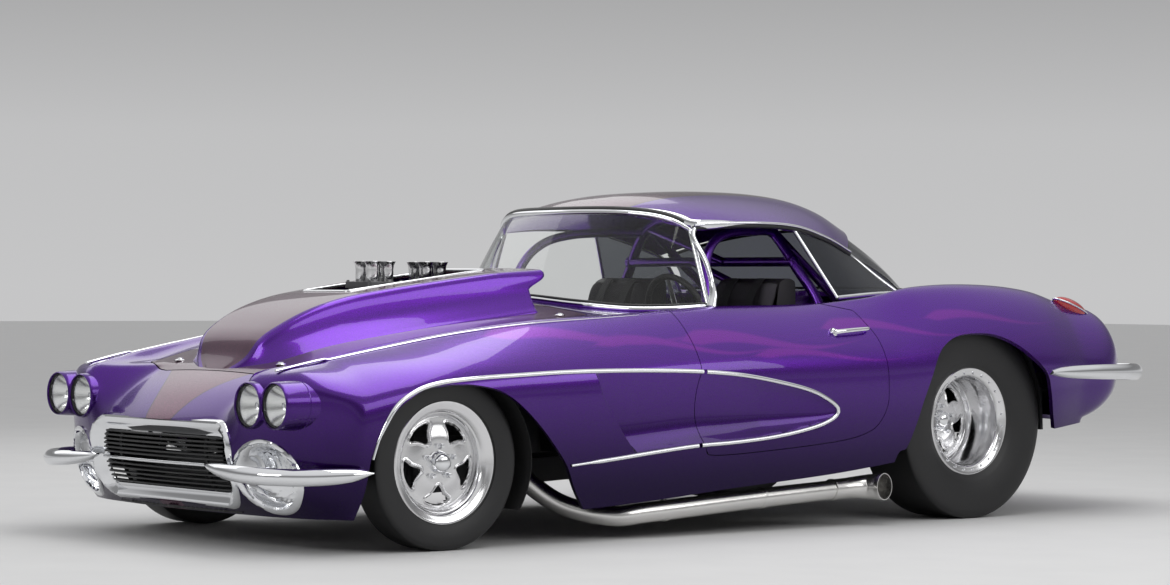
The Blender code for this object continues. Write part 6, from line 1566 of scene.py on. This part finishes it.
def build_cage():
    foot = float(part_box("cage_hoop")[0][2])
    hoop = np.concatenate([HOOP_HALF, [[0.648, 1.990, 0.55], [0.648, 1.990, foot]]])
    line = even(through(mirrored_line(hoop), 8), 160)
    parts = [sweep(line, circle(0.021, 20), up=(0, 1, 0)),
             sweep(even(np.array(((-0.495, 1.950, 1.020), (0.495, 1.950, 1.020))), 8), circle(0.019, 20))]
    for ends in (((-0.36, 1.932, 1.160), (0.10, 1.940, 1.020)), ((-0.10, 1.945, 1.020), (0.620, 1.985, 0.760))):
        parts.append(sweep(even(np.array(ends), 6), circle(0.016, 18), up=(0, 1, 0)))
    floor = 0.45 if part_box("trunk_floor")[0][2] > 0.45 else 0.595
    for side in (1, -1):
        stay = np.array(((side * 0.36, 1.935, 1.165), (side * 0.378, 2.58, 0.655), (side * 0.38, 2.63, floor)))
        parts.append(sweep(even(stay, 60), circle(0.018, 18), up=(1, 0, 0)))
    piece("cage_main_hoop", joined(*parts), FIN["cage"], replaces="cage_hoop", slot="cage_paint")
    foot = float(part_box("cage_left")[0][2])
    path = np.concatenate([[[0.655, 1.330, foot], [0.655, 1.330, foot + 0.06]], SIDE_BAR])
    side = joined(sweep(even(through(path, 8), 110), circle(0.018, 20), up=(1, 0, 0)),
                  sweep(even(np.array(((0.647, 1.342, 0.580), (0.640, 1.990, 0.520))), 8), circle(0.018, 20)))
    pair("cage_side_bar", side, FIN["cage"], replaces="cage", slot="cage_paint")
    ring = [(0.0185, -0.012), (0.0245, -0.008), (0.0245, 0.008), (0.0185, 0.012), (0.0185, -0.012)]
    collars = [lathe(ring, spot, steps=24)
               for spot in ((0.495, 1.950, 1.020), (0.640, 1.990, 0.520), (0.400, 1.925, 1.140))]
    pair("cage_collars", joined(*collars), FIN["cage"], slot="cage_paint")


def build_running_gear():
    entry = np.array(((0.312, 0.40, 0.450), (0.330, 0.40, 0.450)))
    line = np.concatenate([entry, even(through(PIPE_PATH, 14), 150)])
    pipe = sweep(line, circle(size("pipe_radius"), 28), up=(0, 0.3, 1))
    turned = even(through(PIPE_OUTLET, 12), 44)
    flare = 1.0 + 0.30 * step(np.linspace(0, 1, 44), 0.25, 1.0)
    outer = sweep(turned, circle(0.040, 40), sizes=flare)
    tip = joined(open_tube(outer, 40, 0.003), lathe([(0.0375, -0.007), (0.0425, -0.005), (0.0425, 0.005),
                 (0.0375, 0.007), (0.0375, -0.007)], tuple(PIPE_OUTLET[0]), axis="y", steps=40))
    bands = [lathe([(0.0375, -0.008), (0.0405, -0.006), (0.0405, 0.006), (0.0375, 0.008), (0.0375, -0.008)],
                   (0.80, a, 0.094 + (a - 0.95) * 0.056), axis="y", steps=36) for a in (1.02, 1.50)]
    pair("side_pipe_tube", joined(pipe, tip, *bands), FIN["pipe"], replaces="side_pipe", slot="polished")
    # painted shade: a black plug inside the outlet stands in for the shade in the pipe's mouth
    hole = sweep(turned[8:14], circle(0.0385, 36))
    pair("side_pipe_dark", hole, FIN["liner"], slot="black")
    dressed("rear_axle", FIN["cast"])
    for node in ("chassis_frame", "floor_pan", "trunk_floor", "knuckle_left", "knuckle_right"):
        dressed(node, FIN["steel"])


# The stage

EYE = (9.3688, -7.9782, 0.9085)
YAW, PITCH, ROLL = math.radians(50.4786), math.radians(-0.0689), math.radians(0.3696)
LENS, SENSOR = 95.22, 36.0


def build_camera():
    forward = Vector((-math.sin(YAW) * math.cos(PITCH), math.cos(YAW) * math.cos(PITCH), math.sin(PITCH)))
    right = forward.cross(Vector((0, 0, 1))).normalized()
    up = right.cross(forward)
    side = right * math.cos(ROLL) + up * math.sin(ROLL)
    top = up * math.cos(ROLL) - right * math.sin(ROLL)
    data = bpy.data.cameras.new("view")
    data.lens = LENS
    data.sensor_width = SENSOR
    data.clip_end = 200.0
    camera = bpy.data.objects.new("view", data)
    bpy.context.scene.collection.objects.link(camera)
    turn = Matrix((side, top, -forward)).transposed().to_4x4()
    camera.matrix_world = Matrix.Translation(EYE) @ turn
    bpy.context.scene.camera = camera


def lamp(name, place, aim, spread, watts):
    data = bpy.data.lights.new(name, "AREA")
    data.shape = "RECTANGLE"
    data.size, data.size_y = spread
    data.energy = watts
    light = bpy.data.objects.new(name, data)
    bpy.context.scene.collection.objects.link(light)
    turn = (Vector(aim) - Vector(place)).to_track_quat("-Z", "Y").to_matrix().to_4x4()
    light.matrix_world = Matrix.Translation(place) @ turn


def build_stage():
    settings = bpy.context.scene.racer_stage
    build_camera()
    mesh = bpy.data.meshes.new("studio_floor")
    far = 60.0
    mesh.from_pydata([(-far, -far, 0), (far, -far, 0), (far, far, 0), (-far, far, 0)], [], [(0, 1, 2, 3)])
    floor = bpy.data.objects.new("studio_floor", mesh)
    bpy.context.scene.collection.objects.link(floor)
    f = Finish("pale_floor", Roughness=0.85)
    grain = f.noise(f.spot(), 3.0, 3.0)
    f.set("Base Color", f.mix(grain, (0.60, 0.60, 0.60, 1), (0.66, 0.66, 0.655, 1)))
    mesh.materials.append(f.material)
    world = bpy.data.worlds.new("studio")
    bpy.context.scene.world = world
    world.use_nodes = True
    tree = world.node_tree
    back = tree.nodes["Background"]
    spot = tree.nodes.new("ShaderNodeTexCoord")
    split = tree.nodes.new("ShaderNodeSeparateXYZ")
    ramp = tree.nodes.new("ShaderNodeValToRGB")
    tree.links.new(spot.outputs["Generated"], split.inputs[0])
    tree.links.new(split.outputs["Z"], ramp.inputs[0])
    tree.links.new(ramp.outputs[0], back.inputs["Color"])
    stops = ((0.0, 0.70), (0.05, 0.66), (0.15, 0.30), (0.32, 0.26), (0.60, 0.85), (1.0, 0.95))
    while len(ramp.color_ramp.elements) < len(stops):
        ramp.color_ramp.elements.new(0.5)
    for element, (at, level) in zip(ramp.color_ramp.elements, stops):
        element.position = at
        element.color = (level, level, level * 1.01, 1)
    back.inputs["Strength"].default_value = settings.sky
    lamp("overhead", (0.5, 0.0, 5.0), (0, 0.2, 0.6), (2.4, 6.0), settings.overhead)
    lamp("side", (6.5, 1.5, 3.4), (0.4, 0.2, 0.6), (7.0, 2.0), settings.side)
    lamp("front", (1.5, -8.0, 3.4), (0, -1.5, 0.4), (4.0, 1.6), settings.front)
    lamp("far_side", (-6.0, 0.5, 4.5), (0, 0, 0.6), (9.0, 3.0), settings.side * 0.6)
    bpy.context.scene.view_settings.view_transform = "Standard"


# What a user may change, and the steps

def colour_property(name, description, default):
    return bpy.props.FloatVectorProperty(name=name, description=description, default=default, size=3, min=0.0,
                                         max=1.0, subtype="COLOR")


def size_property(name, description, default, low, high):
    return bpy.props.FloatProperty(name=name, description=description, default=default, min=low, max=high,
                                   precision=4, unit="LENGTH")


def lamp_property(name, description, default):
    return bpy.props.FloatProperty(name=name, description=description, default=default, min=0.0, unit="POWER")


class RacerColours(bpy.types.PropertyGroup):
    # painted shade and light: the body's colour fades from the low tone at the sills to the high tone at the roof
    paint_shaded_low: colour_property("Paint, low", "Body colour near the sills", (0.010, 0.001, 0.036))
    paint_lit_high: colour_property("Paint, high", "Body colour near the roof", (0.105, 0.010, 0.330))
    licks: colour_property("Licks", "Faint tongues in the body's lacquer", (0.260, 0.025, 0.420))
    band_dark: colour_property("Band, dark", "Dark grains of the band over nose and roof", (0.060, 0.016, 0.042))
    band_light: colour_property("Band, light", "Light grains of the band", (0.165, 0.048, 0.105))
    band_line: colour_property("Band's edge", "Thin line along the band", (0.012, 0.003, 0.030))
    flake_dark: colour_property("Hood, dark", "Dark grains of the hood's paint", (0.040, 0.014, 0.032))
    flake_light: colour_property("Hood, light", "Light grains of the hood's paint", (0.140, 0.052, 0.088))
    chrome: colour_property("Chrome", "Bumpers, trim and lamp rims", (0.88, 0.89, 0.91))
    alloy: colour_property("Alloy", "Wheels and intake stacks", (0.80, 0.80, 0.81))
    tyre: colour_property("Tyres", "Rubber of the tyres", (0.0105, 0.0105, 0.0115))
    leather: colour_property("Leather", "Seat shells and door linings", (0.022, 0.020, 0.023))
    cloth: colour_property("Cloth", "Seat pads", (0.055, 0.050, 0.060))
    tint: colour_property("Tinted glass", "Rear and quarter panes", (0.16, 0.17, 0.19))
    lens_dark: colour_property("Red lens, dark", "Between the ribs of the tail lamps", (0.30, 0.004, 0.006))
    lens_light: colour_property("Red lens, light", "On the ribs of the tail lamps", (0.55, 0.012, 0.012))


class RacerSizes(bpy.types.PropertyGroup):
    panel_gap: size_property("Panel gap", "Half the gap round doors, hood and lid", 0.005, 0.001, 0.010)
    skin_wall: size_property("Skin", "Thickness of the body's skin", 0.018, 0.004, 0.024)
    recess_depth: size_property("Recess", "Depth of the hollow behind the front wheel", 0.046, 0.010, 0.060)
    scoop_lip: size_property("Scoop lip", "Reach of the lip at the scoop's rear end", 0.085, 0.020, 0.100)
    trim_radius: size_property("Side trim", "Half width of the strips round the recess", 0.0085, 0.003, 0.012)
    glass_frame: size_property("Windscreen frame", "Half width of the bright frame", 0.0105, 0.004, 0.014)
    window_inner: size_property("Wheel windows, inner", "Inner end of the wheels' windows", 0.086, 0.078, 0.100)
    window_outer: size_property("Wheel windows, outer", "Outer end of the wheels' windows", 0.142, 0.120, 0.150)
    strap_width: size_property("Straps", "Width of the harness straps", 0.044, 0.020, 0.076)
    pipe_radius: size_property("Side pipes", "Half width of the side pipes", 0.0375, 0.025, 0.040)


class RacerStage(bpy.types.PropertyGroup):
    sky: bpy.props.FloatProperty(name="Sky", description="Strength of the soft light from all round", default=0.80,
                                 min=0.0, max=2.0)
    overhead: lamp_property("Overhead lamp", "Light from above", 115.0)
    side: lamp_property("Side lamp", "Light from the driver's side", 105.0)
    front: lamp_property("Front lamp", "Light from ahead", 80.0)


class RACER_OT_finishes(bpy.types.Operator):
    """Make every finish of the car"""
    bl_idname = "racer.finishes"
    bl_label = "Finishes"

    def execute(self, context):
        finishes()
        return {"FINISHED"}


class RACER_OT_body(bpy.types.Operator):
    """Build the nose and rear body skins with their openings"""
    bl_idname = "racer.body"
    bl_label = "Body"

    def execute(self, context):
        build_body()
        return {"FINISHED"}


class RACER_OT_doors(bpy.types.Operator):
    """Build the doors with their handles and inside panels"""
    bl_idname = "racer.doors"
    bl_label = "Doors"

    def execute(self, context):
        build_doors()
        return {"FINISHED"}


class RACER_OT_lids(bpy.types.Operator):
    """Build the hood with its scoop, and the trunk lid"""
    bl_idname = "racer.lids"
    bl_label = "Hood and trunk lid"

    def execute(self, context):
        build_hood()
        build_lid()
        return {"FINISHED"}


class RACER_OT_trim(bpy.types.Operator):
    """Lay the bright strips on the body"""
    bl_idname = "racer.trim"
    bl_label = "Bright trim"

    def execute(self, context):
        build_trim()
        return {"FINISHED"}


class RACER_OT_nose(bpy.types.Operator):
    """Build the grille, nostrils, lamps and front bumper"""
    bl_idname = "racer.nose"
    bl_label = "Nose"

    def execute(self, context):
        build_nose()
        return {"FINISHED"}


class RACER_OT_tail(bpy.types.Operator):
    """Build the tail lamps and rear bumper"""
    bl_idname = "racer.tail"
    bl_label = "Tail"

    def execute(self, context):
        build_tail()
        return {"FINISHED"}


class RACER_OT_glasshouse(bpy.types.Operator):
    """Build the roof, the glass and its frames"""
    bl_idname = "racer.glasshouse"
    bl_label = "Roof and glass"

    def execute(self, context):
        build_glasshouse()
        return {"FINISHED"}


class RACER_OT_wheels(bpy.types.Operator):
    """Build the slicks and the five-window wheels"""
    bl_idname = "racer.wheels"
    bl_label = "Wheels"

    def execute(self, context):
        build_wheels()
        return {"FINISHED"}


class RACER_OT_engine(bpy.types.Operator):
    """Build the carburettors and their stacks"""
    bl_idname = "racer.engine"
    bl_label = "Engine"

    def execute(self, context):
        build_engine()
        return {"FINISHED"}


class RACER_OT_cabin(bpy.types.Operator):
    """Build the seats, harness, dash and steering wheel"""
    bl_idname = "racer.cabin"
    bl_label = "Cabin"

    def execute(self, context):
        build_seats()
        build_cabin()
        return {"FINISHED"}


class RACER_OT_cage(bpy.types.Operator):
    """Build the roll cage"""
    bl_idname = "racer.cage"
    bl_label = "Roll cage"

    def execute(self, context):
        build_cage()
        return {"FINISHED"}


class RACER_OT_running_gear(bpy.types.Operator):
    """Build the side pipes and finish the frame, floor and axle"""
    bl_idname = "racer.running_gear"
    bl_label = "Running gear"

    def execute(self, context):
        build_running_gear()
        return {"FINISHED"}


class RACER_OT_stage(bpy.types.Operator):
    """Set the floor, the light and the camera"""
    bl_idname = "racer.stage"
    bl_label = "Stage"

    def execute(self, context):
        build_stage()
        return {"FINISHED"}


STEPS = (RACER_OT_finishes, RACER_OT_body, RACER_OT_doors, RACER_OT_lids, RACER_OT_trim, RACER_OT_nose,
         RACER_OT_tail, RACER_OT_glasshouse, RACER_OT_wheels, RACER_OT_engine, RACER_OT_cabin, RACER_OT_cage,
         RACER_OT_running_gear, RACER_OT_stage)


class RACER_PT_panel(bpy.types.Panel):
    """The car's steps in the sidebar"""
    bl_idname = "RACER_PT_panel"
    bl_label = "Drag racing car"
    bl_space_type = "VIEW_3D"
    bl_region_type = "UI"
    bl_category = "Racer"

    def draw(self, context):
        for key, group in GROUPS.items():
            for name in group.__annotations__:
                self.layout.prop(getattr(context.scene, key), name)
        for step_class in STEPS:
            self.layout.operator(step_class.bl_idname)


GROUPS = {"racer_colours": RacerColours, "racer_sizes": RacerSizes, "racer_stage": RacerStage}
CLASSES = tuple(GROUPS.values()) + STEPS + (RACER_PT_panel,)


def register():
    for item in CLASSES:
        bpy.utils.register_class(item)
    for key, group in GROUPS.items():
        setattr(bpy.types.Scene, key, bpy.props.PointerProperty(type=group))


def unregister():
    for key in GROUPS:
        delattr(bpy.types.Scene, key)
    for item in reversed(CLASSES):
        bpy.utils.unregister_class(item)


def main():
    register()
    for step_class in STEPS:
        group, name = step_class.bl_idname.split(".")
        getattr(getattr(bpy.ops, group), name)()
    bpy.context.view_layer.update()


if __name__ == "__main__":
    main()
